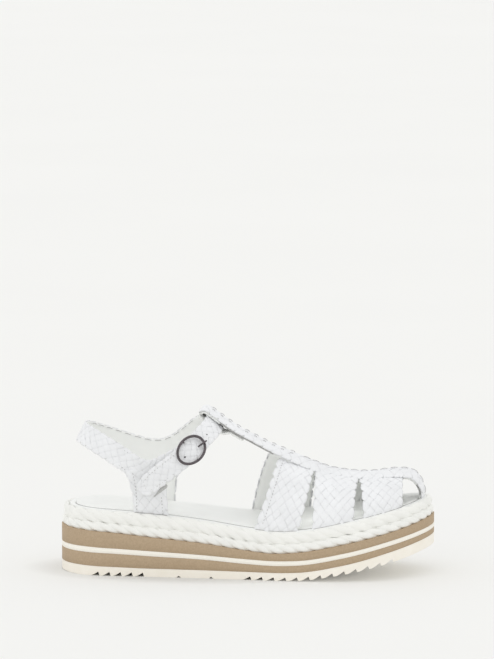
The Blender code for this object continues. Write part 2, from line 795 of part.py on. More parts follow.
# Buckle

def make_wire(name, points, wire, closed, material, collection):
    """A round wire through points in millimetres, as a mesh with its end caps welded on."""
    data = bpy.data.curves.new(name, "CURVE")
    data.dimensions = "3D"
    data.bevel_depth = wire / 2 * MM
    data.bevel_resolution = 1
    data.use_fill_caps = True
    spline = data.splines.new("POLY")
    spline.points.add(len(points) - 1)
    for target, point in zip(spline.points, points):
        target.co = (*to_metres(point), 1)
    spline.use_cyclic_u = closed
    guide = bpy.data.objects.new(name + "_guide", data)
    collection.objects.link(guide)
    graph = bpy.context.evaluated_depsgraph_get()
    mesh = bpy.data.meshes.new_from_object(guide.evaluated_get(graph))
    bpy.data.objects.remove(guide, do_unlink=True)
    work = bmesh.new()
    work.from_mesh(mesh)
    bmesh.ops.remove_doubles(work, verts=work.verts, dist=1e-6)
    bmesh.ops.recalc_face_normals(work, faces=work.faces)
    work.to_mesh(mesh)
    work.free()
    mesh.materials.clear()
    mesh.materials.append(material)
    mesh.shade_smooth()
    obj = bpy.data.objects.new(name, mesh)
    collection.objects.link(obj)
    return obj


def buckle_placer():
    """Turns (along the strap towards the toe, across it, out from it) at the buckle into a point."""
    middle, outward, upward, _ = band_frame()(RING_BAND_PLACE)
    forward = np.cross(outward, upward)

    def place(lengthwise, crosswise, lift):
        return middle + forward * lengthwise + upward * crosswise + outward * lift

    return place


def cut_prong_hole(quarter, helpers):
    """The hole in the ankle strap that the prong comes up through."""
    place = buckle_placer()
    aside = PRONG_ASIDE + PRONG_LEAN * PRONG_HOLE_AHEAD
    ends = [place(PRONG_HOLE_AHEAD, aside, lift) for lift in (-PRONG_HOLE_REACH, PRONG_HOLE_REACH)]
    punch = make_wire("prong_hole", ends, PRONG_HOLE_SIZE, False, quarter.data.materials[0], helpers)
    cut = quarter.modifiers.new("prong_hole", "BOOLEAN")
    cut.operation = "DIFFERENCE"
    cut.object = punch
    make_helper(punch)


def make_buckle(material, collection, helpers):
    """Oval ring over the ankle strap, a bar that steps down under the strap, and a prong with its eye on the bar."""
    place = buckle_placer()
    top = BAND_WALL / 2 + STRAP_RELIEF / 2 + GAP + RING_WIRE / 2 + RING_SAG / 2
    eye = BAR_WIRE / 2 + GAP + PRONG_WIRE / 2
    under = -(BAND_WALL / 2 + GAP + eye + PRONG_WIRE / 2)
    semi_length, semi_width = (RING_LENGTH - RING_WIRE) / 2, (RING_WIDTH - RING_WIRE) / 2
    turns = [2 * math.pi * i / RING_STEPS for i in range(RING_STEPS)]
    ring = [
        place(semi_length * math.cos(a), semi_width * math.sin(a), top - RING_SAG * math.cos(a) ** 2) for a in turns
    ]
    frame = make_wire("buckle_frame", ring, RING_WIRE, True, material, collection)
    bar_top = top - RING_WIRE / 4
    bar_half = [(1, bar_top), (1, under + BAR_BEND), (BAR_FLAT_SHARE, under)]
    bar_rows = [(-share, lift) for share, lift in bar_half] + bar_half[::-1]
    bar = [place(0, semi_width * share, lift) for share, lift in bar_rows]
    join(frame, [make_wire("buckle_bar", bar, BAR_WIRE, False, material, helpers)])
    eye_turns = [math.radians(EYE_FROM + EYE_SWEEP * i / (EYE_STEPS - 1)) for i in range(EYE_STEPS)]
    prong = [place(eye * math.cos(a), PRONG_ASIDE, under + eye * math.sin(a)) for a in eye_turns]
    rest = top - RING_SAG + RING_WIRE / 2 + GAP + PRONG_WIRE / 2
    prong_rows = [(PRONG_HOLE_AHEAD + ahead, lift) for ahead, lift in PRONG_RISE]
    prong_rows.append((PRONG_HOLE_AHEAD + PRONG_BEND_AHEAD, rest - PRONG_BEND_DROP))
    prong_rows.append((semi_length + PRONG_OVERHANG, rest))
    prong += [place(lengthwise, PRONG_ASIDE + PRONG_LEAN * lengthwise, lift) for lengthwise, lift in prong_rows]
    make_wire("buckle_prong", prong, PRONG_WIRE, False, material, collection)


def main():
    clear_scene()
    parts = make_collection("platform_sandal")
    helpers = make_collection("joined_pieces")
    materials = {name: make_material(name) for name in COLOURS}
    make_outsole(materials["cream_rubber"], parts)
    make_layer("midsole_lower", "outsole", "stripe_low", materials["tan_foam"], parts)
    make_layer("midsole_stripe", "stripe_low", "stripe_high", materials["cream_foam"], parts)
    make_layer("midsole_upper", "stripe_high", "rope_low", materials["tan_foam"], parts)
    make_rope("rope_lower", "rope_low", "rope_mid", materials["white_rope"], parts)
    make_rope("rope_upper", "rope_mid", "rope_high", materials["white_rope"], parts)
    make_insole(materials["white_lining"], parts)
    make_vamp(materials["white_leather"], parts, helpers)
    quarter = make_quarter(materials["white_leather"], parts, helpers)
    cut_prong_hole(quarter, helpers)
    make_buckle(materials["dark_metal"], parts, helpers)


main()
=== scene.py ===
"""Looks of the right-foot platform sandal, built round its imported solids.

Sizes are millimetres, as in the part's source: `along` runs from the back of the heel to the toe, `y` is
negative on the outer (lateral) side and `z` is the height above the floor. Meshes are made in metres.
"""

import math

import bmesh
import bpy
import numpy as np
from mathutils import Matrix, Vector


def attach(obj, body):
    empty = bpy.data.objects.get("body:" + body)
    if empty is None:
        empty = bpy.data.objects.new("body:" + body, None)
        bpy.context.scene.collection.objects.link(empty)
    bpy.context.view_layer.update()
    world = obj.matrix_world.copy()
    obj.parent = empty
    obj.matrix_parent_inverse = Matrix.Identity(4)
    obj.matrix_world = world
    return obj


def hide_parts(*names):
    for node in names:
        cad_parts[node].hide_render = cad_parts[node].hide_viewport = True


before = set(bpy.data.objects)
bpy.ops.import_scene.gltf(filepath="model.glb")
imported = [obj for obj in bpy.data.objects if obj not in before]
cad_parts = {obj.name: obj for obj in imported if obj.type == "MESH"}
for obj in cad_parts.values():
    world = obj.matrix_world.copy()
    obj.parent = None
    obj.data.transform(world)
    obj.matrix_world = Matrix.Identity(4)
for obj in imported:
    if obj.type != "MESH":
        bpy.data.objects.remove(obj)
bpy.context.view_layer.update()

MM = 0.001
LATERAL, MEDIAL = -1, 1

# Camera: the photograph's angle to the shoe, in a frame of 494 by 659 pixels
FRAME_WIDTH, FRAME_HEIGHT = 494, 659
VIEW_AZIMUTH, VIEW_ELEVATION, VIEW_DISTANCE = 5.0, 9.5, 3.5
VIEW_AIM = (0.0, 0.0, 0.045)
VIEW_AIM_PIXEL = (247.4, 505.28)
FOCAL_PIXELS = 5047.0
SENSOR_WIDTH, CLIP_END = 36.0, 100.0

# Light: an even sky, broad lamps, a small fill inside the vamp, and a floor that glows round the sole; the
# glow is left out in a patch under the sole, which paints the shadow there
SKY_STRENGTH = 0.95
LAMPS = [
    # name, direction it comes from, spread in degrees, strength
    ("top", (-0.1, -0.25, 1.0), 40.0, 0.2),
    ("front", (-0.4, -1.0, 0.3), 50.0, 0.06),
]
INSIDE_PLACE, INSIDE_SIZE = (0.052, -0.01, 0.06), (0.05, 0.02)
INSIDE_POWER = 0.0036
FLOOR_GLOW = 0.145
# Painted shadow: the patch round the sole where the floor's glow fades out
SHADOW_PATCH_MIDDLE = (-0.036, 0.0, 0.0)
SHADOW_PATCH_REACH = (0.121, 0.062, 1.0)
SHADOW_PATCH_EDGE = 0.3
FLOOR_REACH = 30.0

# Sole: plan outline
SOLE_LENGTH = 258.5
HEEL_ROUND = 34.0
BALL_ALONG = 187.0
TOE_TIP_Y = 5.0
TOE_FULLNESS = {LATERAL: 2.1, MEDIAL: 2.5}
HEEL_STEPS, WAIST_STEPS, TOE_STEPS = 20, 60, 28
LAYER_BEVEL = 0.22
LAYER_GAP = 0.04

# Sole: rope welt and insole
ROPE_PITCH = {"rope_lower": 9.2, "rope_upper": 10.4}
ROPE_INSET = {"rope_lower": 0.4, "rope_upper": 1.3}
ROPE_HALF_DEPTH = {"rope_lower": 2.9, "rope_upper": 2.5}
ROPE_STRANDS = 3
ROPE_VALLEY = 0.27
ROPE_SWELL = 1.22
ROPE_SIDES, ROPE_STEP = 42, 0.9
INSOLE_RISE = 1.6
INSOLE_DISH = 1.2
INSOLE_EDGE_INSET = 5.5
INSOLE_FLAT_WIDTH, INSOLE_LEAST_WIDTH = 40.0, 1e-6
STRAP_INSET = 7.4
SLOT_DEPTH = 4.5

# Tread: each notch climbs forward from the floor in a hollow curve, and falls steeply from its tip
TOOTH_NOTCH_LENGTH = 5.7
TOOTH_FALL = 1.0
TOOTH_CURVE = 1.3
HEEL_TEETH = {"first": 28.9, "pitch": 7.75, "count": 5, "depth": 2.8}
TOE_TEETH = {"first": 134.6, "pitch": 8.1, "count": 13, "depth": 2.4}
TOOTH_SHARES = (0.0, 0.25, 0.5, 0.75, 0.9, 1.0)
TOOTH_TIP = (0.35, 0.75)
WAIST_GROOVES = {"places": (85.0, 107.5), "width": 3.2, "depth": 1.2}
TREAD_CLEAR = 0.4
TREAD_BEVEL, TREAD_BEVEL_SEGMENTS, TREAD_SHARP_ANGLE = 0.25, 2, 35.0
WELD_METRES = 1e-6

# Upper
TBAR_SINK, TAB_SINK = 1.4, 0.5
TBAR_CROWN_RADIUS = 22.0
TBAR_EDGE_GIRTH = 4.0
TBAR_TANGENT_REACH = 4.0
LOOP_DROP = 6.2
LOOP_LENGTH = 18.0
LOOP_TAB = 10.0
LOOP_RAMP = 3.6
LOOP_TAB_DROP = 2.5
RIDGE_POINTS, FOLD_POINTS, UNDER_POINTS, RAMP_POINTS = 90, 13, 12, 5
HEEL_CENTRE = (58.0, 0.0, 74.0)
INSTEP_CENTRE = (84.0, 0.0, 77.0)
CENTRE_SHIFT_FROM, CENTRE_SHIFT_OVER = 40.0, 45.0
POST_INSET = 7.1
POST_FLARE = 1.5
LAST_SAMPLES = 64
STRAP_GRID, POST_GRID = (41, 61), (33, 49)
TBAR_GRID_COLUMNS, BAND_GRID_COLUMNS = 25, 17
TBAR_SAMPLES, BAND_SAMPLES = 240, 600

# Buckle
RING_LENGTH, RING_WIDTH, RING_WIRE = 24.0, 18.8, 1.9
RING_SAG = 0.9
RING_STEPS, RING_SIDES = 96, 20
BAR_WIRE, PRONG_WIRE = 1.5, 1.2
BAR_END = 1.2
BAR_BEND, BAR_FLAT_SHARE = 0.9, 0.88
EYE_FROM, EYE_TO, EYE_STEPS = 20.0, 320.0, 25
RING_BAND_PLACE = 0.858
PRONG_HOLE_AHEAD = 6.0
PRONG_ASIDE, PRONG_LEAN = 0.8, 0.2
PRONG_RISE = [(-0.4, -1.4), (0.3, 1.5)]
PRONG_BEND_AHEAD, PRONG_BEND_DROP = 1.8, 0.5
PRONG_OVERHANG, PRONG_SAMPLES = 0.8, 30
BAND_WALL = 1.8
STRAP_RELIEF = 0.5
GAP = 0.3


def between(values, tangents, i, s, step):
    """Values at the share `s` of the step from knot `i` to the next one, on a smooth curve."""
    rise = values[i] * (1 + 2 * s) * (1 - s) ** 2 + values[i + 1] * s * s * (3 - 2 * s)
    lean = tangents[i] * s * (1 - s) ** 2 + tangents[i + 1] * s * s * (s - 1)
    return rise + lean * step


class Table:
    """Rows of numbers under named columns, read between the rows along a smooth monotone curve."""

    def __init__(self, columns, rows):
        self.columns = columns.split()
        self.rows = np.array(rows, float)

    def at(self, column, place):
        knots = self.rows[:, 0]
        values = self.rows[:, self.columns.index(column)]
        steps = np.diff(knots)
        slopes = np.diff(values) / steps
        tangents = np.zeros(len(knots))
        tangents[0], tangents[-1] = slopes[0], slopes[-1]
        for i in range(1, len(slopes)):
            if slopes[i - 1] * slopes[i] > 0:
                tangents[i] = 2 / (1 / slopes[i - 1] + 1 / slopes[i])
        i = np.clip(np.searchsorted(knots, place) - 1, 0, len(steps) - 1)
        s = (np.clip(place, knots[0], knots[-1]) - knots[i]) / steps[i]
        return between(values, tangents, i, s, steps[i])


# Heights of the sole's layers
SOLE = Table(
    "along ground outsole stripe_low stripe_high rope_low rope_mid rope_high",
    [
        (0, 0.5, 6.9, 16.2, 20.0, 31.9, 38.0, 46.0),
        (16, 0.0, 6.8, 16.1, 20.0, 31.3, 37.5, 45.3),
        (34, 0.0, 6.4, 15.7, 19.4, 30.3, 36.5, 44.4),
        (67, 0.0, 5.7, 14.2, 17.8, 27.2, 33.6, 42.2),
        (100, 0.0, 5.6, 13.0, 16.2, 24.2, 30.9, 38.9),
        (133, 0.0, 5.5, 10.9, 14.3, 20.0, 26.3, 34.2),
        (150, 0.0, 5.5, 10.3, 13.7, 18.6, 24.9, 32.6),
        (166, 0.4, 6.0, 10.9, 14.2, 19.6, 25.9, 33.2),
        (199, 5.2, 11.6, 16.6, 19.8, 25.8, 31.8, 39.4),
        (231, 12.4, 19.9, 24.4, 27.6, 33.3, 39.7, 46.8),
        (258.5, 20.6, 27.8, 31.5, 34.6, 41.2, 47.4, 53.6),
    ],
)

# Rise of the insole's medial edge above its lateral edge
INSOLE_MEDIAL = Table(
    "along rise",
    [(0, 0.8), (90, 1.2), (124, 2.2), (150, 3.8), (168, 4.6), (186, 3.0), (206, 1.2), (258.5, 1.2)],
)

# Half widths of the sole's plan between the round heel and the round toe
PLAN = Table(
    "along lateral medial",
    [
        (34, 34.0, 33.6),
        (70, 35.5, 31.8),
        (100, 37.5, 30.8),
        (130, 40.6, 33.8),
        (160, 44.2, 41.2),
        (187, 45.5, 45.5),
    ],
)

# Sections of the last under the T-bar
LAST = Table(
    "along ridge_z ridge_y fullness",
    [
        (120, 98.6, 1.6, 2.0),
        (132, 91.0, 1.8, 2.0),
        (148, 82.3, 2.0, 1.9),
        (165, 76.9, 2.4, 1.9),
        (180, 71.8, 2.7, 1.95),
        (192, 68.3, 3.0, 2.0),
        (208, 66.4, 3.3, 2.1),
        (225, 67.3, 3.7, 2.2),
        (238, 68.0, 4.2, 2.3),
        (244, 66.7, 4.5, 2.3),
    ],
)

# Middle line of the T-bar, from the toe up to its loop
TBAR = [
    # along, y, z, half width
    (250.5, 5.0, 48.6, 6.6),
    (250.6, 4.9, 53.5, 7.2),
    (250.7, 4.9, 57.5, 8.2),
    (249.2, 4.8, 62.6, 10.0),
    (246.9, 4.6, 67.1, 11.8),
    (243.0, 4.4, 69.9, 12.7),
    (235.6, 4.1, 71.0, 13.0),
    (225.9, 3.7, 70.2, 12.7),
    (218.0, 3.5, 69.0, 12.1),
    (208.0, 3.3, 68.7, 11.8),
    (197.0, 3.1, 69.6, 11.8),
    (188.0, 2.9, 71.0, 12.3),
    (176.0, 2.6, 75.0, 13.0),
    (167.0, 2.4, 78.5, 13.0),
    (159.0, 2.3, 81.8, 12.5),
    (147.0, 2.0, 86.6, 11.2),
    (134.5, 1.8, 92.6, 10.2),
    (121.3, 1.6, 99.6, 9.8),
    (110.0, 1.5, 107.4, 9.6),
    (102.6, 1.5, 112.8, 9.6),
]

# The vamp straps: where their edges lie along the shoe, how far they bow forward, and rows of braid
STRAPS = [
    # side, back at T-bar, back at sole, its bow, front at T-bar, front at sole, its bow, rows
    (LATERAL, 152.5, 135.7, 2.6, 175.4, 165.5, 2.4, 16),
    (LATERAL, 177.4, 177.5, 0.8, 206.3, 204.6, 0.0, 14),
    (LATERAL, 206.3, 212.8, 1.2, 236.8, 237.2, 0.0, 12),
    (MEDIAL, 146.5, 129.5, -1.4, 177.5, 168.5, 0.0, 16),
    (MEDIAL, 179.0, 177.0, 0.0, 208.5, 209.0, 0.0, 14),
    (MEDIAL, 210.0, 215.0, 0.0, 234.5, 232.5, 0.0, 12),
]

# The posts: rear and front edge at each share of the way from the band down to the sole
POSTS = {
    LATERAL: Table(
        "down rear front", [(0, 47.7, 76.6), (0.3, 51.3, 75.8), (0.6, 53.3, 76.2), (1, 53.7, 77.4)]
    ),
    MEDIAL: Table(
        "down rear front", [(0, 48.7, 83.7), (0.3, 52.1, 78.9), (0.6, 53.5, 76.5), (1, 53.7, 75.9)]
    ),
}
POST_TOP_Z = {LATERAL: 74.0, MEDIAL: 78.0}
POST_BAND_Y = {LATERAL: -31.3, MEDIAL: 30.4}

# Middle line of the band: tab under the buckle, heel strap, ankle strap, end past the buckle
BAND = [
    # along, y, z, half width
    (89.2, -29.9, 86.0, 5.6),
    (81.0, -31.0, 81.0, 6.4),
    (73.6, -31.4, 76.4, 7.1),
    (67.5, -31.6, 73.6, 7.3),
    (58.7, -31.4, 74.4, 7.3),
    (45.7, -30.0, 81.6, 7.3),
    (32.2, -26.0, 89.2, 7.0),
    (21.2, -17.5, 94.2, 6.9),
    (15.3, -7.5, 95.8, 6.8),
    (13.9, 0.0, 95.9, 6.8),
    (15.3, 7.5, 95.1, 6.8),
    (21.2, 17.0, 92.0, 6.9),
    (32.2, 25.3, 86.9, 7.2),
    (45.7, 29.4, 81.5, 7.6),
    (57.7, 30.4, 78.0, 8.0),
    (67.7, 30.5, 78.1, 8.2),
    (77.7, 29.6, 82.4, 8.0),
    (86.7, 27.2, 89.8, 7.7),
    (94.8, 22.6, 96.9, 7.4),
    (101.4, 16.2, 101.8, 7.1),
    (105.3, 9.0, 104.4, 7.0),
    (106.6, 1.5, 104.7, 7.0),
    (106.7, -6.0, 103.5, 7.0),
    (105.6, -13.5, 101.3, 7.0),
    (101.9, -21.0, 97.4, 6.9),
    (96.8, -28.0, 92.0, 6.9),
    (91.1, -33.2, 86.0, 6.9),
    (84.1, -35.4, 80.4, 6.9),
    (76.1, -36.4, 74.2, 7.0),
    (68.5, -36.8, 68.2, 6.8),
    (62.5, -36.8, 62.9, 6.0),
    (59.9, -36.8, 60.4, 4.6),
    (58.6, -36.8, 59.1, 2.6),
]

# Section of the insole from its edge inwards: a rolled rim, then the edge of the padded footbed
INSOLE_SECTION = [
    # inset from the sole's edge, height off the footbed's own surface
    (5.6, -6.0),
    (5.6, -1.7),
    (5.8, -1.1),
    (6.4, -0.8),
    (8.4, -0.75),
    (9.2, -0.85),
    (9.6, -1.1),
    (9.75, -1.7),
    (10.0, -1.7),
    (10.1, -0.5),
    (10.25, -0.1),
    (10.7, 0.1),
    (11.8, 0.2),
    (14.0, 0.25),
    (18.0, 0.2),
    (24.0, 0.15),
]

# Section of the seam between rim and footbed
SEAM_SECTION = [(9.6, -1.8), (9.62, -0.85), (9.8, -0.55), (10.15, -0.5), (10.2, -1.8)]

# Edges of the sheets: leather that reaches past a side edge turns round it
WRAP_RADIUS, WRAP_TURN = 1.0, 2.3
WRAP_LEAST = 0.05
EDGE_STEP = 0.02

# Smooth walls under the weave
WALLS = {
    # low and high off the sheet, points across, points along, margin at the side edges
    "strap": (0.0, 1.0, 13, 31, 0.7),
    "tbar": (0.1, 0.9, 11, 110, 0.5),
    "tab": (-TAB_SINK, 0.7, 11, 30, 0.8),
    "band": (-0.9, 0.45, 9, 241, 0.45),
    "post": (-0.45, 0.3, 9, 21, 0.9),
}
UNDERSIDE_TOP, UNDERSIDE_COLUMNS, UNDERSIDE_MARGIN = 0.05, 11, 0.6

# Weave on the walls
WEAVES = {
    # strips across, heights of ends and crowns, thickness, margin, width in cells, turn at the edges
    "strap": (8, 0.9, 1.6, 0.7, 1.2, 1.0, 1.0),
    "tbar": (4, 0.95, 1.5, 0.8, 1.5, 1.03, 0.7),
    "band": (4, 0.4, 1.0, 0.6, 1.1, 1.0, 0.6),
    "post": (6, 0.3, 0.8, 0.5, 1.0, 1.0, 0.8),
}
TBAR_WEAVE_PITCH, BAND_WEAVE_PITCH = 7.3, 6.6
POST_WEAVE_ROWS = 8
BRAID_SEED = 7
BRAID_SHIFT, BRAID_WIDTH_SPREAD, BRAID_LIFT_SPREAD = 0.04, 0.05, 0.12

# One strip of the weave, in cells: stations along it, and its section, top and bottom
STRIP_HALF = 0.5
STRIP_ENDS = STRIP_HALF + np.array([0.26, 0.12, -0.08])
STRIP_STATIONS = np.concatenate([-STRIP_ENDS, [-STRIP_HALF / 2, 0, STRIP_HALF / 2], STRIP_ENDS[::-1]])
STRIP_TOP = np.array([-1.0, -0.86, -0.5, 0.0, 0.5, 0.86, 1.0])
STRIP_BOTTOM = np.array([0.8, 0.0, -0.8])
STRIP_TAPER, STRIP_TAPER_SPAN = 0.08, (-0.2, 0.3)
STRIP_DIP_SPAN, STRIP_END_LIFT = (-0.26, 0.26), 0.2
STRIP_CROWN = 0.35

# Stretches of the T-bar's underside that are raw: its upright at the toe, and its free part
TBAR_RAW = [(6.0, 14.5), (121.0, 163.0)]
FOLD_SINK = 2.0
RIDGE_ROWS, TAB_ROWS, RAW_ROWS = 161, 41, 60
TOE_LINING_ROWS, LONG_LINING_ROWS, FOLD_LINING_ROWS = 8, 80, 20

# Stitches, painted shade dashes on the T-bar, and holes painted as dark plugs, as lines of (share across,
# share along) on their sheets
STITCH_PITCH = 2.3
STITCH_LENGTH, STITCH_WIRE = 1.1, 0.5
STITCH_LIFT, STITCH_SIDES = 0.85, 6
STITCH_POINTS, STITCH_LINE_SAMPLES = 5, 300
STRAP_STITCHES, STRAP_STITCH_LIFT = [(0.13, 0.12), (0.13, 0.88)], 1.75
TBAR_SHADE_DASH_PITCH, TBAR_SHADE_DASH_LIFT = 6.9, 1.95
# Grey dashes on the T-bar that paint the shade where its strips turn at the ridge and edges
TBAR_SHADE_DASHES = [
    # across, from, to, length
    (0.52, 0.03, 0.57, 5.0),
    (0.4, 0.59, 0.97, 3.2),
    (0.68, 0.59, 0.97, 2.2),
]
FAR_EDGE_DASH = {"across": 0.025, "from": 0.34, "to": 0.655, "pitch": 7.4, "length": 4.4, "lift": -1.0}
STRAP_HOLES = [(0.55, -6.0), (0.56, 17.6)]
STRAP_HOLE_RADIUS, STRAP_HOLE_SIDES = 0.75, 12
STRAP_HOLE_LIFTS = (0.0, 0.4, 0.6)
BAND_STITCHES = [
    [(0.86, 0.915), (0.85, 0.96), (0.8, 0.98), (0.5, 0.985), (0.2, 0.98), (0.15, 0.96), (0.14, 0.885)],
    [(0.88, 0.155), (0.88, 0.1)],
    [(0.88, 0.06), (0.88, 0.02)],
    [(0.12, 0.16), (0.12, 0.145)],
]
POST_STITCHES = {
    LATERAL: [[(0.16, 0.05), (0.1, 0.5), (0.07, 0.95)], [(0.85, 0.5), (0.86, 0.95)]],
    MEDIAL: [[(0.84, 0.05), (0.9, 0.5), (0.93, 0.95)], [(0.15, 0.5), (0.14, 0.95)]],
}

# Painted shadow: a dark line where a strap or post goes down behind the rope
FOOT_RISE, FOOT_WIRE, FOOT_SIDES = 0.8, 0.5, 8
FOOT_SPAN, FOOT_POINTS, FOOT_SAMPLES = (0.02, 0.98), 25, 200
STRAP_FOOT_LIFT, POST_FOOT_LIFT = 1.4, 0.7

# Painted shadow of the gap under the ankle strap's end, on the lateral post
STRAP_SHADOW_ENDS = np.array([(0.6, 0.54), (0.97, 0.31)])
STRAP_SHADOW_HALF_WIDTH, STRAP_SHADOW_TAPER = 1.8, 0.7
STRAP_SHADOW_POINTS, STRAP_SHADOW_SIDES = 13, 12

# Round wires: how far their ends reach on, and how far they close, as shares of the radius
END_REACH, END_SIZE = 0.85, 0.5
WIRE_SEED, WIRE_SIDES = (0.3, 0.5, 0.8), 14


# Lines and meshes

def to_metres(points):
    points = np.asarray(points, float)
    return (points - (SOLE_LENGTH / 2, 0, 0)) * MM


def add_object(name, data):
    """A new object of the scene."""
    obj = bpy.data.objects.new(name, data)
    bpy.context.scene.collection.objects.link(obj)
    return obj


def make_piece(name, points, faces, material, node, slot, uv=None):
    """A closed, smooth-shaded mesh from points in millimetres, which stands for a node of the frame.

    `uv` holds a texture place for each corner of each face in turn.
    """
    mesh = bpy.data.meshes.new(name)
    mesh.from_pydata(to_metres(points).tolist(), [], faces)
    if uv is not None:
        layer = mesh.uv_layers.new(name="UVMap")
        layer.data.foreach_set("uv", np.asarray(uv, np.float32).ravel())
    work = bmesh.new()
    work.from_mesh(mesh)
    bmesh.ops.recalc_face_normals(work, faces=work.faces)
    work.to_mesh(mesh)
    work.free()
    mesh.shade_smooth()
    mesh.materials.append(material)
    obj = add_object(name, mesh)
    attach(obj, "root")
    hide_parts(node)
    return obj


def merge(shapes):
    """Several (points, faces) as one."""
    points, faces = [], []
    start = 0
    for shape_points, shape_faces in shapes:
        points.append(np.asarray(shape_points).reshape(-1, 3))
        faces += [tuple(start + v for v in face) for face in shape_faces]
        start += len(points[-1])
    return np.vstack(points), faces


def leather_piece(name, shapes, material, node):
    """Several shapes as one piece of the upper."""
    return make_piece(name, *merge(shapes), material, node, "white_leather")


def unit(vectors):
    """Vectors brought to length one."""
    return vectors / np.linalg.norm(vectors, axis=-1)[..., None]


def run_along(points):
    """Distance run at each point of a line."""
    return np.concatenate([[0], np.cumsum(np.linalg.norm(np.diff(points, axis=0), axis=1))])


def grid_faces(rows, columns, wrap_rows=False, wrap_columns=False, shift=0):
    """Quads between points laid out row by row. `shift` turns the last row before it meets the first."""
    i, j = np.meshgrid(
        np.arange(rows if wrap_rows else rows - 1),
        np.arange(columns if wrap_columns else columns - 1),
        indexing="ij",
    )
    i, j = i.ravel(), j.ravel()
    turn = np.where(i == rows - 1, shift, 0)
    beside = (j + 1) % columns
    ahead = (i + 1) % rows
    quads = np.stack(
        [
            i * columns + j,
            i * columns + beside,
            ahead * columns + (beside + turn) % columns,
            ahead * columns + (j + turn) % columns,
        ],
        1,
    )
    return [tuple(quad) for quad in quads.tolist()]


def tube_faces(rows, ring):
    """Quads round a tube of points laid out ring by ring, and a face over each of its ends."""
    ends = [tuple(range(ring)), tuple(range((rows - 1) * ring, rows * ring))]
    return grid_faces(rows, ring, wrap_columns=True) + ends


def smooth_step(low, high, value):
    share = np.clip((value - low) / (high - low), 0, 1)
    return share * share * (3 - 2 * share)


# Sole

def half_width(along, side, inset=0.0):
    """Distance from the middle line to the sole's edge, taken in by `inset` all round."""
    column = "lateral" if side == LATERAL else "medial"
    back = np.clip((HEEL_ROUND - along) / (HEEL_ROUND - inset), 0, 1)
    reach = np.clip((along - BALL_ALONG) / (SOLE_LENGTH - BALL_ALONG - inset), 0, 1)
    tip = TOE_TIP_Y * side
    width = (PLAN.at(column, along) - inset) * np.sqrt(1 - back**2)
    return tip + (width - tip) * np.sqrt(1 - reach ** TOE_FULLNESS[side])


def outline(inset=0.0):
    """The sole's edge taken in by `inset`, once round: lateral side from heel to toe, medial side back."""
    quarter = math.pi / 2
    heel_turn = np.linspace(0, quarter, HEEL_STEPS, endpoint=False)
    heel = HEEL_ROUND - (HEEL_ROUND - inset) * np.cos(heel_turn)
    waist = np.linspace(HEEL_ROUND, BALL_ALONG, WAIST_STEPS, endpoint=False)
    toe_turn = np.linspace(0, quarter, TOE_STEPS + 1)
    toe = BALL_ALONG + (SOLE_LENGTH - BALL_ALONG - inset) * np.sin(toe_turn)
    along = np.concatenate([heel, waist, toe])
    lateral = np.stack([along, -half_width(along, LATERAL, inset)], 1)
    medial = np.stack([along, half_width(along, MEDIAL, inset)], 1)
    return np.vstack([lateral, medial[-2:0:-1]])


def cap_faces(start, count):
    """Rungs across a ring of the outline, from its lateral side to its medial side."""
    faces = []
    for j in range(count // 2):
        rung = (start + j, start + j + 1, start + count - j - 1, start + (count - j) % count)
        faces.append(tuple(dict.fromkeys(rung)))
    return faces


def raised_outline(inset, height):
    """The outline taken in by `inset`, with each of its points at its height."""
    plan = outline(inset)
    return np.column_stack([plan, height(plan[:, 0], plan[:, 1])])


def ring_solid(rings):
    """A closed solid through rings of the outline, each (inset, height of its points)."""
    points = [raised_outline(inset, height) for inset, height in rings]
    count = len(points[0])
    faces = grid_faces(len(points), count, wrap_columns=True)
    faces += cap_faces(0, count) + cap_faces((len(points) - 1) * count, count)
    return np.vstack(points), faces


def make_layer(name, low, high, material, slot):
    """One sheet of the wedge between two height columns, with its edges just broken."""

    def bottom(lift):
        return lambda along, y: SOLE.at(low, along) + lift

    def top(drop):
        return lambda along, y: SOLE.at(high, along) - LAYER_GAP - drop

    rings = [
        (LAYER_BEVEL, bottom(0)),
        (0, bottom(LAYER_BEVEL)),
        (0, top(LAYER_BEVEL)),
        (LAYER_BEVEL, top(0)),
    ]
    points, faces = ring_solid(rings)
    return make_piece(name + "_sheet", points, faces, material, name, slot)


def tread_corners():
    """Corners of the tread as (along, depth above the floor line), from heel to toe."""
    corners = []
    climb = TOOTH_NOTCH_LENGTH - TOOTH_FALL / 2
    tip_ahead, tip_share = TOOTH_TIP
    for row in (HEEL_TEETH, TOE_TEETH):
        for i in range(row["count"]):
            wall = row["first"] + row["pitch"] * i
            for share in TOOTH_SHARES:
                corners.append((wall - climb * (1 - share), row["depth"] * share**TOOTH_CURVE))
            corners += [(wall + TOOTH_FALL * tip_ahead, row["depth"] * tip_share), (wall + TOOTH_FALL, 0.0)]
    half = WAIST_GROOVES["width"] / 2
    for place in WAIST_GROOVES["places"]:
        corners += [(place - half, 0.0), (place, WAIST_GROOVES["depth"]), (place + half, 0.0)]
    return sorted(corners, key=lambda corner: corner[0])


def tread_profile():
    """Places along the sole and the tread's depth at each: its corners, and outline points between."""
    corners = tread_corners()
    places, depths = np.array(corners).T
    plain = outline()[: HEEL_STEPS + WAIST_STEPS + TOE_STEPS + 1, 0]
    plain = [place for place in plain if np.min(np.abs(places - place)) > TREAD_CLEAR]
    profile = corners + [(place, np.interp(place, places, depths)) for place in plain]
    profile.sort(key=lambda corner: corner[0])
    return np.array(profile).T


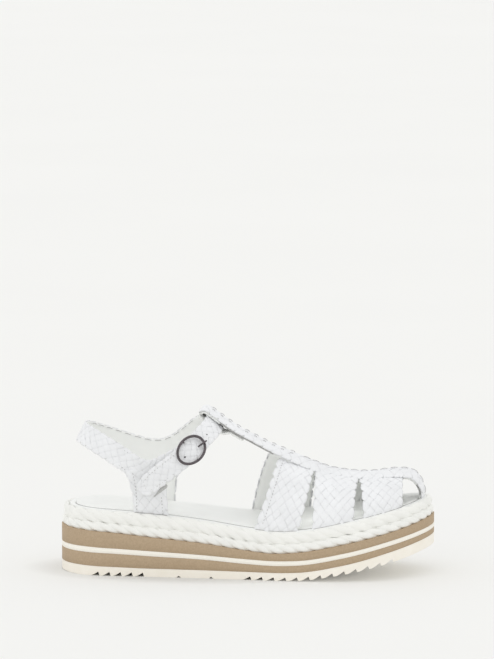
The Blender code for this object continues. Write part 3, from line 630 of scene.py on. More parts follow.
def break_edges(obj):
    """Closes an open mesh, and breaks its sharp edges with a small bevel."""
    work = bmesh.new()
    work.from_mesh(obj.data)
    bmesh.ops.remove_doubles(work, verts=work.verts, dist=WELD_METRES)
    bmesh.ops.holes_fill(work, edges=[edge for edge in work.edges if edge.is_boundary])
    bmesh.ops.recalc_face_normals(work, faces=work.faces)
    work.to_mesh(obj.data)
    work.free()
    bevel = obj.modifiers.new("broken edges", "BEVEL")
    bevel.width = TREAD_BEVEL * MM
    bevel.segments = TREAD_BEVEL_SEGMENTS
    bevel.angle_limit = math.radians(TREAD_SHARP_ANGLE)
    obj.data.set_sharp_from_angle(angle=math.radians(TREAD_SHARP_ANGLE))


def make_outsole(material):
    along, depth = tread_profile()
    low = SOLE.at("ground", along) + depth
    high = SOLE.at("outsole", along) - LAYER_GAP
    lateral, medial = -half_width(along, LATERAL), half_width(along, MEDIAL)
    corners = [(lateral, low), (lateral, high), (medial, high), (medial, low)]
    points = np.stack([np.column_stack([along, y, z]) for y, z in corners], 1).reshape(-1, 3)
    faces = grid_faces(len(along), len(corners), wrap_columns=True)
    break_edges(make_piece("outsole_tread", points, faces, material, "outsole", "cream_rubber"))


def even_ring(inset, step):
    """Points evenly spaced round the outline, the way out at each, and the length once round."""
    line = outline(inset)
    loop = np.vstack([line, line[:1]])
    run = run_along(loop)
    count = round(run[-1] / step)
    places = np.arange(count) * run[-1] / count
    ring = np.stack([np.interp(places, run, loop[:, axis]) for axis in (0, 1)], 1)
    tangent = unit(np.roll(ring, -2, 0) - np.roll(ring, 2, 0))
    outward = np.stack([tangent[:, 1], -tangent[:, 0]], 1)
    return ring, outward, places, run[-1]


def make_rope(name, low, high, material):
    """A rope of three strands laid round the edge, each vertex row following its strand."""
    half_depth = ROPE_HALF_DEPTH[name]
    _, _, _, edge_length = even_ring(0, ROPE_STEP)
    strands = round(edge_length / ROPE_PITCH[name])
    ring, outward, places, length = even_ring(ROPE_INSET[name] + half_depth, ROPE_STEP)
    lay = ROPE_STRANDS * length / strands
    turn = 2 * math.pi * np.arange(ROPE_SIDES) / ROPE_SIDES
    third = 2 * math.pi / ROPE_STRANDS
    from_crown = turn % third - third / 2
    lobe = 1 - ROPE_VALLEY * (1 - np.cos(ROPE_STRANDS / 2 * from_crown))
    angle = turn[None, :] - 2 * math.pi * places[:, None] / lay
    bottom, top = SOLE.at(low, ring[:, 0]), SOLE.at(high, ring[:, 0])
    out = half_depth * lobe * np.cos(angle)
    up = ((top - bottom) / 2 * ROPE_SWELL)[:, None] * lobe * np.sin(angle)
    plan = ring[:, None, :] + outward[:, None, :] * out[:, :, None]
    z = ((top + bottom) / 2)[:, None] + up
    points = np.concatenate([plan, z[:, :, None]], 2).reshape(-1, 3)
    shift = (strands % ROPE_STRANDS) * ROPE_SIDES // ROPE_STRANDS
    faces = grid_faces(len(ring), ROPE_SIDES, True, True, -shift)
    row, side = np.arange(len(ring))[:, None], np.arange(ROPE_SIDES)[:, None]
    corner_u = np.repeat(row + (0, 0, 1, 1), ROPE_SIDES, 0) * strands / len(ring)
    corner_v = np.tile(side + (0, 1, 1, 0), (len(ring), 1)) * ROPE_STRANDS / ROPE_SIDES
    uv = np.stack([corner_u.ravel(), corner_v.ravel()], 1)
    return make_piece(name + "_strands", points, faces, material, name, "white_rope", uv)


def insole_top(along, y):
    """Height of the footbed: dished across, and higher along the medial side."""
    lateral = -half_width(along, LATERAL, INSOLE_EDGE_INSET)
    medial = half_width(along, MEDIAL, INSOLE_EDGE_INSET)
    width = np.maximum(medial - lateral, INSOLE_LEAST_WIDTH)
    share = np.clip((y - lateral) / width, 0, 1)
    flat = np.minimum(1, width / INSOLE_FLAT_WIDTH)
    curve = INSOLE_MEDIAL.at("rise", along) * share - INSOLE_DISH * np.sin(math.pi * share)
    return SOLE.at("rope_high", along) + INSOLE_RISE + flat * curve


def make_insole(material, thread):
    def height(lift):
        return lambda along, y: insole_top(along, y) + lift

    points, faces = ring_solid([(inset, height(lift)) for inset, lift in INSOLE_SECTION])
    make_piece("insole_footbed", points, faces, material, "insole", "white_lining")
    rings = [raised_outline(inset, height(lift)) for inset, lift in SEAM_SECTION]
    faces = grid_faces(len(rings), len(rings[0]), True, True)
    make_piece("insole_seam", np.vstack(rings), faces, thread, "insole", "white_lining")


# Upper: sheets that the leather lies on

class Sheet:
    """A surface sampled on a grid, p across and q along, and read with its outward direction."""

    def __init__(self, points):
        self.points = points
        down = np.gradient(points, axis=0)
        across = np.gradient(points, axis=1)
        self.normals = unit(np.cross(down, across))
        self.width = np.linalg.norm(np.diff(points, axis=1), axis=2).sum(1).mean()
        self.length = np.linalg.norm(np.diff(points, axis=0), axis=2).sum(0).mean()

    def read(self, grid, p, q):
        rows, columns = grid.shape[:2]
        row = np.clip(q, 0, 1) * (rows - 1)
        column = np.clip(p, 0, 1) * (columns - 1)
        i = np.clip(row.astype(int), 0, rows - 2)
        j = np.clip(column.astype(int), 0, columns - 2)
        s, t = (row - i)[..., None], (column - j)[..., None]
        low = grid[i, j] * (1 - t) + grid[i, j + 1] * t
        high = grid[i + 1, j] * (1 - t) + grid[i + 1, j + 1] * t
        return low * (1 - s) + high * s

    def place(self, p, q, lift, pivot=0.0, turn=WRAP_TURN):
        """Points `lift` off the surface. Past the side edges they turn round the edge, about `pivot`."""
        point = self.read(self.points, p, q)
        normal = unit(self.read(self.normals, p, q))
        beyond = (p - np.clip(p, 0, 1)) * self.width
        inner = self.read(self.points, np.where(p > 0.5, 1 - EDGE_STEP, EDGE_STEP), q)
        edge = self.read(self.points, np.where(p > 0.5, 1.0, 0.0), q)
        outward = unit(edge - inner)
        radius = np.maximum(lift - pivot, WRAP_LEAST)
        angle = np.minimum(np.abs(beyond) / WRAP_RADIUS, turn)
        sideways = radius * np.sin(angle)
        upward = np.where(beyond == 0, lift, pivot + radius * np.cos(angle))
        return point + outward * sideways[..., None] + normal * upward[..., None]


def sample(surface, columns, rows):
    """A sheet from surface(p, q), which takes whole arrays."""
    q, p = np.meshgrid(np.linspace(0, 1, rows), np.linspace(0, 1, columns), indexing="ij")
    return Sheet(surface(p, q))


def last_point(along, side, girth_share):
    """A point on the last's section at `along`, at a share of the girth from T-bar's edge to sole."""
    turn = np.linspace(0, math.pi / 2, LAST_SAMPLES)
    ridge_y = LAST.at("ridge_y", along)[..., None]
    fullness = LAST.at("fullness", along)[..., None]
    base_z = (SOLE.at("rope_high", along) - SLOT_DEPTH)[..., None]
    base_y = side * half_width(along, side, STRAP_INSET)[..., None]
    height = LAST.at("ridge_z", along)[..., None] - base_z
    y = ridge_y + (base_y - ridge_y) * np.sin(turn) ** (2 / fullness)
    z = base_z + height * np.cos(turn) ** (2 / fullness)
    step = np.hypot(np.diff(y), np.diff(z))
    girth = np.concatenate([np.zeros_like(base_z), np.cumsum(step, -1)], -1)
    place = TBAR_EDGE_GIRTH + (girth[..., -1] - TBAR_EDGE_GIRTH) * girth_share
    i = np.clip((girth < place[..., None]).sum(-1) - 1, 0, len(turn) - 2)[..., None]
    before, after = np.take_along_axis(girth, i, -1), np.take_along_axis(girth, i + 1, -1)
    s = (place[..., None] - before) / (after - before)

    def read(values):
        return np.take_along_axis(values, i, -1) * (1 - s) + np.take_along_axis(values, i + 1, -1) * s

    return np.concatenate([along[..., None], read(y), read(z)], -1)


def strap_edges(strap, q):
    """Where a strap's back and front edges lie along the shoe, at a share of the way down it."""
    _, back_top, back_low, back_bow, front_top, front_low, front_bow, _ = strap
    bow = 4 * q * (1 - q)
    back = back_top + (back_low - back_top) * q + back_bow * bow
    front = front_top + (front_low - front_top) * q + front_bow * bow
    return back, front


def strap_sheet(strap):
    side = strap[0]

    def surface(p, q):
        share = p if side == LATERAL else 1 - p
        back, front = strap_edges(strap, q)
        return last_point(back + (front - back) * share, side, q)

    return sample(surface, *STRAP_GRID)


def tbar_line():
    """Rows of the T-bar's middle line, from the toe up to the fold of its loop, and the distance run."""
    rows = smooth_path(TBAR, TBAR_SAMPLES)
    return rows, run_along(rows[:, (0, 2)])


def tbar_path(run_end):
    """Distance along the T-bar's path and drop below it, at points of its folded strip, with lengths."""
    fold = LOOP_DROP / 2
    turn = np.linspace(0, math.pi, FOLD_POINTS)
    loop_end = run_end - LOOP_LENGTH
    ramp_end = loop_end - LOOP_RAMP
    ramp_drop = np.linspace(LOOP_DROP, LOOP_TAB_DROP, RAMP_POINTS)[1:]
    legs = [
        (np.linspace(0, run_end, RIDGE_POINTS, endpoint=False), np.zeros(RIDGE_POINTS)),
        (run_end + fold * np.sin(turn), fold - fold * np.cos(turn)),
        (np.linspace(run_end, loop_end, UNDER_POINTS)[1:], np.full(UNDER_POINTS - 1, LOOP_DROP)),
        (np.linspace(loop_end, ramp_end, RAMP_POINTS)[1:], ramp_drop),
        ([ramp_end - LOOP_TAB], [LOOP_TAB_DROP]),
    ]
    distance, drop = (np.concatenate(column) for column in zip(*legs))
    return distance, drop, run_along(np.column_stack([distance, drop]))


def tbar_sheet(length_from, length_to, rows):
    """The T-bar's strip between two lengths of it, from the toe up, round the fold and back under."""
    line, run = tbar_line()
    path_distance, path_drop, path_length = tbar_path(run[-1])
    near = TBAR_TANGENT_REACH

    def line_at(distance):
        return np.stack([np.interp(distance, run, column) for column in line.T], -1)

    def surface(p, q):
        length = length_from + (length_to - length_from) * q
        distance = np.interp(length, path_length, path_distance)
        drop = np.interp(length, path_length, path_drop)
        middle = line_at(distance)
        forward = unit((line_at(distance + near) - line_at(distance - near))[..., (0, 2)])
        upward = np.stack([forward[..., 1], -forward[..., 0]], -1)
        offset = (0.5 - p) * 2 * middle[..., 3]
        beyond = np.maximum(0, distance - run[-1])
        sunk = offset**2 / (2 * TBAR_CROWN_RADIUS) + drop
        along = middle[..., 0] + forward[..., 0] * beyond - upward[..., 0] * sunk
        z = middle[..., 2] + forward[..., 1] * beyond - upward[..., 1] * sunk
        return np.stack([along, middle[..., 1] + offset, z], -1)

    return sample(surface, TBAR_GRID_COLUMNS, rows)


def smooth_path(rows, samples):
    """A smooth curve through the rows of a path, evenly spaced by distance."""
    rows = np.array(rows, float)
    chord = run_along(rows[:, :3])
    tangents = np.gradient(rows, chord, axis=0)
    fine = np.linspace(0, chord[-1], samples)
    i = np.clip(np.searchsorted(chord, fine) - 1, 0, len(rows) - 2)
    step = (chord[i + 1] - chord[i])[:, None]
    return between(rows, tangents, i, (fine - chord[i])[:, None] / step, step)


def band_frame():
    """Middle line of the band with its outward and upward directions and half width, at even places."""
    curve = smooth_path(BAND, BAND_SAMPLES)
    middle, half = curve[:, :3], curve[:, 3]
    tangent = unit(np.gradient(middle, axis=0))
    share = np.clip((middle[:, :1] - CENTRE_SHIFT_FROM) / CENTRE_SHIFT_OVER, 0, 1)
    centre = np.array(HEEL_CENTRE) * (1 - share) + np.array(INSTEP_CENTRE) * share
    outward = middle - centre
    outward = unit(outward - np.sum(outward * tangent, 1)[:, None] * tangent)
    upward = np.cross(outward, tangent)
    return middle, outward, upward, half


def band_read(share):
    """Middle, outward and upward directions and half width of the band at shares of its length."""
    middle, outward, upward, half = band_frame()
    places = np.linspace(0, 1, len(half))

    def columns(values):
        return np.stack([np.interp(share, places, column) for column in values.T], -1)

    return columns(middle), columns(outward), columns(upward), np.interp(share, places, half)


def band_sheet(share_from, share_to, rows):
    def surface(p, q):
        middle, _, upward, half = band_read(share_from + (share_to - share_from) * q)
        return middle + upward * (half * (2 * p - 1))[..., None]

    return sample(surface, BAND_GRID_COLUMNS, rows)


def post_sheet(side):
    def surface(p, q):
        share = p if side == LATERAL else 1 - p
        rear, front = POSTS[side].at("rear", q), POSTS[side].at("front", q)
        along = rear + (front - rear) * share
        base_y = side * half_width(along, side, POST_INSET)
        base_z = SOLE.at("rope_high", along) - SLOT_DEPTH
        y = POST_BAND_Y[side] + (base_y - POST_BAND_Y[side]) * q**POST_FLARE
        return np.stack([along, y, POST_TOP_Z[side] + (base_z - POST_TOP_Z[side]) * q], -1)

    return sample(surface, *POST_GRID)


# Upper: leather on the sheets

def shell(sheet, low, high, columns, rows, margin):
    """A smooth closed wall on a sheet between two heights, taken in by `margin` at its side edges."""
    edge = margin / sheet.width
    q, p = np.meshgrid(np.linspace(0, 1, rows), np.linspace(edge, 1 - edge, columns), indexing="ij")
    middle, bulge = (low + high) / 2, (high - low) / 2
    outer, inner = sheet.place(p, q, high), sheet.place(p, q, low)
    rims = []
    for column in (0, -1):
        rim = sheet.place(p[:, column], q[:, column], middle)
        inward = unit(sheet.place(0.5, q[:, column], middle) - rim)
        rims.append(rim - inward * bulge)
    section = np.concatenate([rims[0][:, None], outer, rims[1][:, None], inner[:, ::-1]], 1)
    return section.reshape(-1, 3), tube_faces(rows, section.shape[1])


def braid_floats(columns, rows):
    """Middles and leans of a braid's strips, in cells of its lattice."""
    found = []
    for i in range(columns + 1):
        lean = 1 if i % 2 == 0 else -1
        found += [(i, k, lean) for k in range(rows + 1) if (i + k) % 2]
    return np.array(found, float)


def repeat_faces(count, one, step):
    """The faces of one shape, for as many shapes in a row with `step` points each."""
    faces = []
    for number in range(count):
        faces += [tuple(number * step + corner for corner in face) for face in one]
    return faces


def braid(sheet, rows, columns, base, top, thick, margin, fill, turn):
    """The strips of a braid on a sheet, each a thin rounded strap whose ends dip under its neighbours."""
    middle = braid_floats(columns, rows)
    chance = np.random.default_rng(BRAID_SEED)
    moved = middle[:, :2] + chance.normal(0, BRAID_SHIFT, (len(middle), 2))
    wide = 1 + chance.normal(0, BRAID_WIDTH_SPREAD, len(middle))[:, None, None]
    high = 1 + chance.normal(0, BRAID_LIFT_SPREAD, len(middle))[:, None, None]
    u0, v0, lean = moved[:, 0, None, None], moved[:, 1, None, None], middle[:, 2, None, None]
    s = STRIP_STATIONS[None, :, None]
    past = np.abs(s) - STRIP_HALF
    w = np.concatenate([STRIP_TOP, STRIP_BOTTOM])[None, None, :]
    narrow = wide * fill * (1 - STRIP_TAPER * smooth_step(*STRIP_TAPER_SPAN, past))
    u = u0 + s + w * narrow * 0.5
    v = v0 + s * lean - w * narrow * 0.5 * lean
    edge = margin / sheet.width
    p = edge + (1 - 2 * edge) * u / columns
    q = np.broadcast_to(v / rows, p.shape)
    rise = 1 - smooth_step(*STRIP_DIP_SPAN, past)
    crown = 1 - STRIP_CROWN * np.abs(w) ** 3
    face = base + (top - base) * high * (STRIP_END_LIFT + (1 - STRIP_END_LIFT) * rise) * crown
    under = np.arange(w.shape[-1]) >= len(STRIP_TOP)
    lift = np.broadcast_to(np.where(under[None, None, :], face - thick, face), p.shape)
    points = sheet.place(p, q, lift, base - thick, turn)
    count, ring = len(STRIP_STATIONS), w.shape[-1]
    return points.reshape(-1, 3), repeat_faces(len(points), tube_faces(count, ring), count * ring)


def underside(length_from, length_to, rows, sink):
    """A thin wall under a stretch of the T-bar."""
    sheet = tbar_sheet(length_from, length_to, rows)
    return shell(sheet, -sink, UNDERSIDE_TOP, UNDERSIDE_COLUMNS, rows, UNDERSIDE_MARGIN)


def make_vamp(leather, lining, raw_edge_and_shadow_line, mark):
    """The T-bar and the six straps: a smooth lining wall with the braid on it."""
    straps = [strap_sheet(strap) for strap in STRAPS]
    walls = [shell(sheet, *WALLS["strap"]) for sheet in straps]
    strips = [braid(sheet, strap[-1], *WEAVES["strap"]) for sheet, strap in zip(straps, STRAPS)]
    marks = [stitches(straps[0], STRAP_STITCHES, lift=STRAP_STITCH_LIFT)]
    # Painted shadow lines where the straps go down behind the rope
    feet = [painted_foot_shadow(sheet, STRAP_FOOT_LIFT) for sheet in straps]
    _, run = tbar_line()
    _, _, path_length = tbar_path(run[-1])
    fold_length = run[-1] + math.pi * LOOP_DROP / 4
    ridge = tbar_sheet(0, fold_length, RIDGE_ROWS)
    walls.append(shell(ridge, *WALLS["tbar"]))
    strips.append(braid(ridge, 2 * round(ridge.length / TBAR_WEAVE_PITCH), *WEAVES["tbar"]))
    # These dashes paint the shade where the T-bar's strips turn
    for across, start, end, length in TBAR_SHADE_DASHES:
        line = [(across, start), (across, end)]
        marks.append(stitches(ridge, line, TBAR_SHADE_DASH_PITCH, length, TBAR_SHADE_DASH_LIFT))
    walls.append(shell(tbar_sheet(fold_length, path_length[-1], TAB_ROWS), *WALLS["tab"]))
    (toe_from, toe_to), (free_from, free_to) = TBAR_RAW
    walls.append(underside(0, toe_from, TOE_LINING_ROWS, TBAR_SINK))
    walls.append(underside(toe_to, free_from, LONG_LINING_ROWS, TBAR_SINK))
    walls.append(underside(free_to, fold_length, FOLD_LINING_ROWS, FOLD_SINK))
    raw = [underside(start, end, RAW_ROWS, TBAR_SINK) for start, end in TBAR_RAW]
    leather_piece("vamp_lining", walls, lining, "vamp")
    leather_piece("vamp_braid", strips, leather, "vamp")
    leather_piece("tbar_lining", raw, raw_edge_and_shadow_line, "vamp")
    leather_piece("vamp_stitches_and_shade_dashes", marks, mark, "vamp")
    leather_piece("vamp_foot_shadows", feet, raw_edge_and_shadow_line, "vamp")


def quarter_threads_and_strap_shadow(band, posts):
    """Stitches of band and posts, the dashes on the band's far edge, and a grey lens that paints the shadow
    of the gap under its end.
    """
    threads = [stitches(band, line) for line in BAND_STITCHES]
    for side, post in posts.items():
        threads += [stitches(post, line) for line in POST_STITCHES[side]]
    dash = FAR_EDGE_DASH
    far_edge = [(dash["across"], dash["from"]), (dash["across"], dash["to"])]
    threads.append(stitches(band, far_edge, dash["pitch"], dash["length"], dash["lift"]))
    # A painted shadow lens under the ankle strap's end
    threads.append(painted_strap_shadow(posts[LATERAL]))
    return threads


def make_quarter(leather, lining, raw_edge_and_shadow_line, thread, shade):
    """Heel strap, ankle strap and posts."""
    band = band_sheet(0, 1, BAND_SAMPLES + 1)
    posts = {side: post_sheet(side) for side in (LATERAL, MEDIAL)}
    walls = [shell(band, *WALLS["band"])]
    strips = [braid(band, 2 * round(band.length / BAND_WEAVE_PITCH), *WEAVES["band"])]
    for post in posts.values():
        walls.append(shell(post, *WALLS["post"]))
        strips.append(braid(post, POST_WEAVE_ROWS, *WEAVES["post"]))
    leather_piece("quarter_lining", walls, lining, "quarter")
    leather_piece("quarter_braid", strips, leather, "quarter")
    leather_piece("quarter_stitches_and_strap_shadow", quarter_threads_and_strap_shadow(band, posts), thread, "quarter")
    # Painted shade in the strap's punched holes
    hole_shades = [hole(band, across, RING_BAND_PLACE - ahead / band.length) for across, ahead in STRAP_HOLES]
    leather_piece("quarter_hole_shades", hole_shades, shade, "quarter")
    # Painted shadow lines where the posts go down behind the rope
    feet = [painted_foot_shadow(post, POST_FOOT_LIFT) for post in posts.values()]
    leather_piece("quarter_foot_shadows", feet, raw_edge_and_shadow_line, "quarter")


def stitches(sheet, corners, pitch=STITCH_PITCH, length=STITCH_LENGTH, lift=STITCH_LIFT):
    """Threads along a line on a sheet, each dipping into the leather at its ends; the same dashes also
    paint shade on the T-bar.
    """
    corners = np.array(corners)
    fine = np.linspace(0, len(corners) - 1, STITCH_LINE_SAMPLES)
    p, q = (np.interp(fine, np.arange(len(corners)), column) for column in corners.T)
    run = run_along(sheet.place(p, q, 0.0))
    along = np.linspace(-1, 1, STITCH_POINTS)
    lifts = lift - STITCH_WIRE * along**2
    threads = []
    for middle in np.arange(pitch / 2, run[-1], pitch):
        places = middle + along * length / 2
        path = sheet.place(np.interp(places, run, p), np.interp(places, run, q), lifts)
        threads.append(sweep(path, STITCH_WIRE / 2, False, STITCH_SIDES))
    return merge(threads)


def hole(sheet, across, share):
    """A dark plug level with the leather of a strap: painted shade where a punched hole is."""
    path = sheet.place(across, share, np.array(STRAP_HOLE_LIFTS))
    return sweep(path, STRAP_HOLE_RADIUS, False, STRAP_HOLE_SIDES)


def painted_foot_shadow(sheet, lift):
    """A grey line across a strap or post, just above the rope's top, that paints the shadow where it goes
    down behind the rope.
    """
    across = np.linspace(*FOOT_SPAN, FOOT_POINTS)
    down = np.linspace(0, 1, FOOT_SAMPLES)
    share = []
    for p in across:
        line = sheet.place(p, down, lift)
        above = line[:, 2] - SOLE.at("rope_high", line[:, 0]) - FOOT_RISE
        share.append(np.interp(0, -above, down))
    return sweep(sheet.place(across, np.array(share), lift), FOOT_WIRE / 2, False, FOOT_SIDES)


def painted_strap_shadow(post):
    """A grey lens, wider at its upper end, that paints the shadow where the ankle strap's end stands off
    the post.
    """
    share = np.linspace(0, 1, STRAP_SHADOW_POINTS)
    p, q = (start + (end - start) * share for start, end in STRAP_SHADOW_ENDS.T)
    size = STRAP_SHADOW_HALF_WIDTH * (1 - STRAP_SHADOW_TAPER * (1 - share))
    return sweep(post.place(p, q, 0.0), size, False, STRAP_SHADOW_SIDES)


# Wires and the buckle

def sweep(path, radius, closed, sides=WIRE_SIDES):
    """A round wire along points, with its ends rounded off."""
    path = np.asarray(path, float)
    if closed:
        tangent = np.roll(path, -1, 0) - np.roll(path, 1, 0)
    else:
        tangent = np.gradient(path, axis=0)
    tangent = unit(tangent)
    normal = np.zeros_like(path)
    seed = np.cross(tangent[0], WIRE_SEED)
    for i in range(len(path)):
        seed = seed - tangent[i] * np.dot(seed, tangent[i])
        seed /= np.linalg.norm(seed)
        normal[i] = seed
    binormal = np.cross(tangent, normal)
    size = np.broadcast_to(radius, len(path)).astype(float)
    if not closed:
        lead = path[:1] - tangent[:1] * size[0] * END_REACH
        tail = path[-1:] + tangent[-1:] * size[-1] * END_REACH
        path = np.vstack([lead, path, tail])
        normal = np.vstack([normal[:1], normal, normal[-1:]])
        binormal = np.vstack([binormal[:1], binormal, binormal[-1:]])
        size = np.concatenate([size[:1] * END_SIZE, size, size[-1:] * END_SIZE])
    turn = 2 * math.pi * np.arange(sides) / sides
    cosine, sine = np.cos(turn)[None, :, None], np.sin(turn)[None, :, None]
    ring = normal[:, None] * cosine + binormal[:, None] * sine
    points = path[:, None] + ring * size[:, None, None]
    faces = grid_faces(len(path), sides, True, True) if closed else tube_faces(len(path), sides)
    return points.reshape(-1, 3), faces


def buckle_placer():
    """Turns (along the strap towards the toe, across it, out from it) at the buckle into points."""
    middle, outward, upward, _ = (value[0] for value in band_read(np.array([RING_BAND_PLACE])))
    forward = np.cross(outward, upward)

    def place(rows):
        rows = np.asarray(rows, float)
        return middle + rows[:, :1] * forward + rows[:, 1:2] * upward + rows[:, 2:] * outward

    return place


def rounded(rows, samples):
    """A smooth line through a few rows of three numbers."""
    rows = np.column_stack([np.asarray(rows, float), np.zeros(len(rows))])
    return smooth_path(rows, samples)[:, :3]


def make_ring(metal, place, top, under):
    """The oval ring, the bar that steps down under the strap, and a lump at one end of the bar."""
    semi_length, semi_width = (RING_LENGTH - RING_WIRE) / 2, (RING_WIDTH - RING_WIRE) / 2
    turn = 2 * math.pi * np.arange(RING_STEPS) / RING_STEPS
    height = top - RING_SAG * np.cos(turn) ** 2
    ring = np.column_stack([semi_length * np.cos(turn), semi_width * np.sin(turn), height])
    bar_top = top - RING_WIRE / 4
    flat = BAR_FLAT_SHARE * semi_width
    bar = [
        (0, -semi_width, bar_top),
        (0, -semi_width, under + BAR_BEND),
        (0, -flat, under),
        (0, flat, under),
        (0, semi_width, under + BAR_BEND),
        (0, semi_width, bar_top),
    ]
    bar_end = [(0, -semi_width, bar_top), (0, BAR_END - semi_width, bar_top)]
    wires = [
        sweep(place(ring), RING_WIRE / 2, True, RING_SIDES),
        sweep(place(bar), BAR_WIRE / 2, False),
        sweep(place(bar_end), BAR_WIRE / 2, False),
    ]
    make_piece("buckle_ring", *merge(wires), metal, "buckle_frame", "dark_metal")


def make_prong(metal, place, top, under, eye):
    """The prong: an eye round the bar, up through the strap's hole and over the ring."""
    eye_turn = np.radians(np.linspace(EYE_FROM, EYE_TO, EYE_STEPS))
    eye_rows = [(eye * math.cos(a), PRONG_ASIDE, under + eye * math.sin(a)) for a in eye_turn]
    rest = top - RING_SAG + RING_WIRE / 2 + GAP + PRONG_WIRE / 2
    tongue = [(PRONG_HOLE_AHEAD + ahead, lift) for ahead, lift in PRONG_RISE]
    tongue.append((PRONG_HOLE_AHEAD + PRONG_BEND_AHEAD, rest - PRONG_BEND_DROP))
    tongue.append(((RING_LENGTH - RING_WIRE) / 2 + PRONG_OVERHANG, rest))
    tongue_rows = [(ahead, PRONG_ASIDE + PRONG_LEAN * ahead, lift) for ahead, lift in tongue]
    line = rounded([eye_rows[-1]] + tongue_rows, PRONG_SAMPLES)
    wire = sweep(place(np.vstack([np.array(eye_rows), line[1:]])), PRONG_WIRE / 2, False)
    make_piece("buckle_tongue", *wire, metal, "buckle_prong", "dark_metal")


def make_buckle(metal):
    place = buckle_placer()
    top = BAND_WALL / 2 + STRAP_RELIEF / 2 + GAP + RING_WIRE / 2 + RING_SAG / 2
    eye = BAR_WIRE / 2 + GAP + PRONG_WIRE / 2
    under = -(BAND_WALL / 2 + GAP + eye + PRONG_WIRE / 2)
    make_ring(metal, place, top, under)
    make_prong(metal, place, top, under, eye)


# Materials

def srgb(red, green, blue):
    """A display colour, 0 to 255, as linear values."""
    channels = []
    for channel in (red, green, blue):
        value = channel / 255
        channels.append(value / 12.92 if value <= 0.04045 else ((value + 0.055) / 1.055) ** 2.4)
    return (*channels, 1.0)


class Finish:
    """A material made of a Principled shader and the textures that feed it."""

    def __init__(self, name):
        self.material = bpy.data.materials.new(name)
        self.material.use_nodes = True
        self.nodes = self.material.node_tree.nodes
        self.links = self.material.node_tree.links
        self.shader = self.nodes["Principled BSDF"]
        self.position = self.nodes.new("ShaderNodeTexCoord").outputs["Object"]
        self.bumped = None

    def set(self, **values):
        for name, value in values.items():
            self.shader.inputs[name.replace("_", " ")].default_value = value

    def texture(self, kind, scale, vector=None, **values):
        node = self.nodes.new(kind)
        node.inputs["Scale"].default_value = scale
        for name, value in values.items():
            node.inputs[name].default_value = value
        self.links.new(vector or self.position, node.inputs["Vector"])
        return node

    def clouds(self, scale, detail, dark, light, spread=(0.3, 0.7)):
        """Base colour between two by a noise, over a spread of its values. Returns the noise."""
        noise = self.texture("ShaderNodeTexNoise", scale, Detail=detail).outputs["Fac"]
        ramp = self.nodes.new("ShaderNodeValToRGB")
        for element, place, colour in zip(ramp.color_ramp.elements, spread, (dark, light)):
            element.position = place
            element.color = colour
        self.links.new(noise, ramp.inputs["Fac"])
        self.links.new(ramp.outputs["Color"], self.shader.inputs["Base Color"])
        return noise

    def roughness(self, factor, low, high):
        node = self.nodes.new("ShaderNodeMapRange")
        node.inputs["To Min"].default_value = low
        node.inputs["To Max"].default_value = high
        self.links.new(factor, node.inputs["Value"])
        self.links.new(node.outputs["Result"], self.shader.inputs["Roughness"])

    def bump(self, height, depth_mm):
        """Relief of a height texture on top of any relief already there."""
        node = self.nodes.new("ShaderNodeBump")
        node.inputs["Distance"].default_value = depth_mm * MM
        node.inputs["Strength"].default_value = 1.0
        self.links.new(height, node.inputs["Height"])
        if self.bumped is not None:
            self.links.new(self.bumped, node.inputs["Normal"])
        self.bumped = node.outputs["Normal"]
        self.links.new(self.bumped, self.shader.inputs["Normal"])

    def cells(self, scale, depth_mm):
        """Fine relief of round cells, such as the grain of leather."""
        self.bump(self.texture("ShaderNodeTexVoronoi", scale).outputs["Distance"], depth_mm)

    def grain(self, scale, detail, depth_mm):
        """Relief of a noise."""
        self.bump(self.texture("ShaderNodeTexNoise", scale, Detail=detail).outputs["Fac"], depth_mm)


def white_leather():
    finish = Finish("white_leather")
    cloud = finish.clouds(60.0, 3.0, srgb(235, 236, 238), srgb(243, 244, 246))
    finish.cells(1100.0, 0.06)
    finish.grain(320.0, 4.0, 0.4)
    finish.roughness(cloud, 0.36, 0.5)
    finish.set(Coat_Weight=0.12, Coat_Roughness=0.3)
    return finish.material


def white_lining():
    finish = Finish("white_lining")
    cloud = finish.clouds(45.0, 3.0, srgb(242, 243, 241), srgb(247, 248, 246))
    finish.cells(1500.0, 0.04)
    finish.roughness(cloud, 0.4, 0.55)
    return finish.material


def white_rope():
    finish = Finish("white_rope")
    place = finish.nodes.new("ShaderNodeTexCoord").outputs["UV"]
    cloud = finish.clouds(90.0, 4.0, srgb(246, 246, 242), srgb(251, 251, 247))
    yarn = finish.texture("ShaderNodeTexWave", 5.0, place, Distortion=1.2, Detail=2.0)
    yarn.bands_direction = "Y"
    finish.bump(yarn.outputs["Fac"], 0.06)
    finish.grain(1400.0, 3.0, 0.12)
    finish.roughness(cloud, 0.6, 0.8)
    return finish.material


def fibres(name, dark, light, scale=900.0, detail=4.0, roughness=0.9):
    """Thread, or the undyed cut edge and underside of leather; the same fibrous greys also paint shade:
    lines, dashes, a lens and hole plugs.
    """
    finish = Finish(name)
    finish.bump(finish.clouds(scale, detail, dark, light), 0.2)
    finish.set(Roughness=roughness)
    return finish.material


def foam(name, dark, light):
    finish = Finish(name)
    cloud = finish.clouds(900.0, 5.0, dark, light, (0.35, 0.65))
    finish.cells(1800.0, 0.05)
    finish.roughness(cloud, 0.6, 0.78)
    return finish.material


def cream_rubber():
    finish = Finish("cream_rubber")
    cloud = finish.clouds(120.0, 4.0, srgb(247, 241, 229), srgb(251, 246, 236))
    finish.grain(1600.0, 3.0, 0.06)
    finish.roughness(cloud, 0.5, 0.65)
    return finish.material


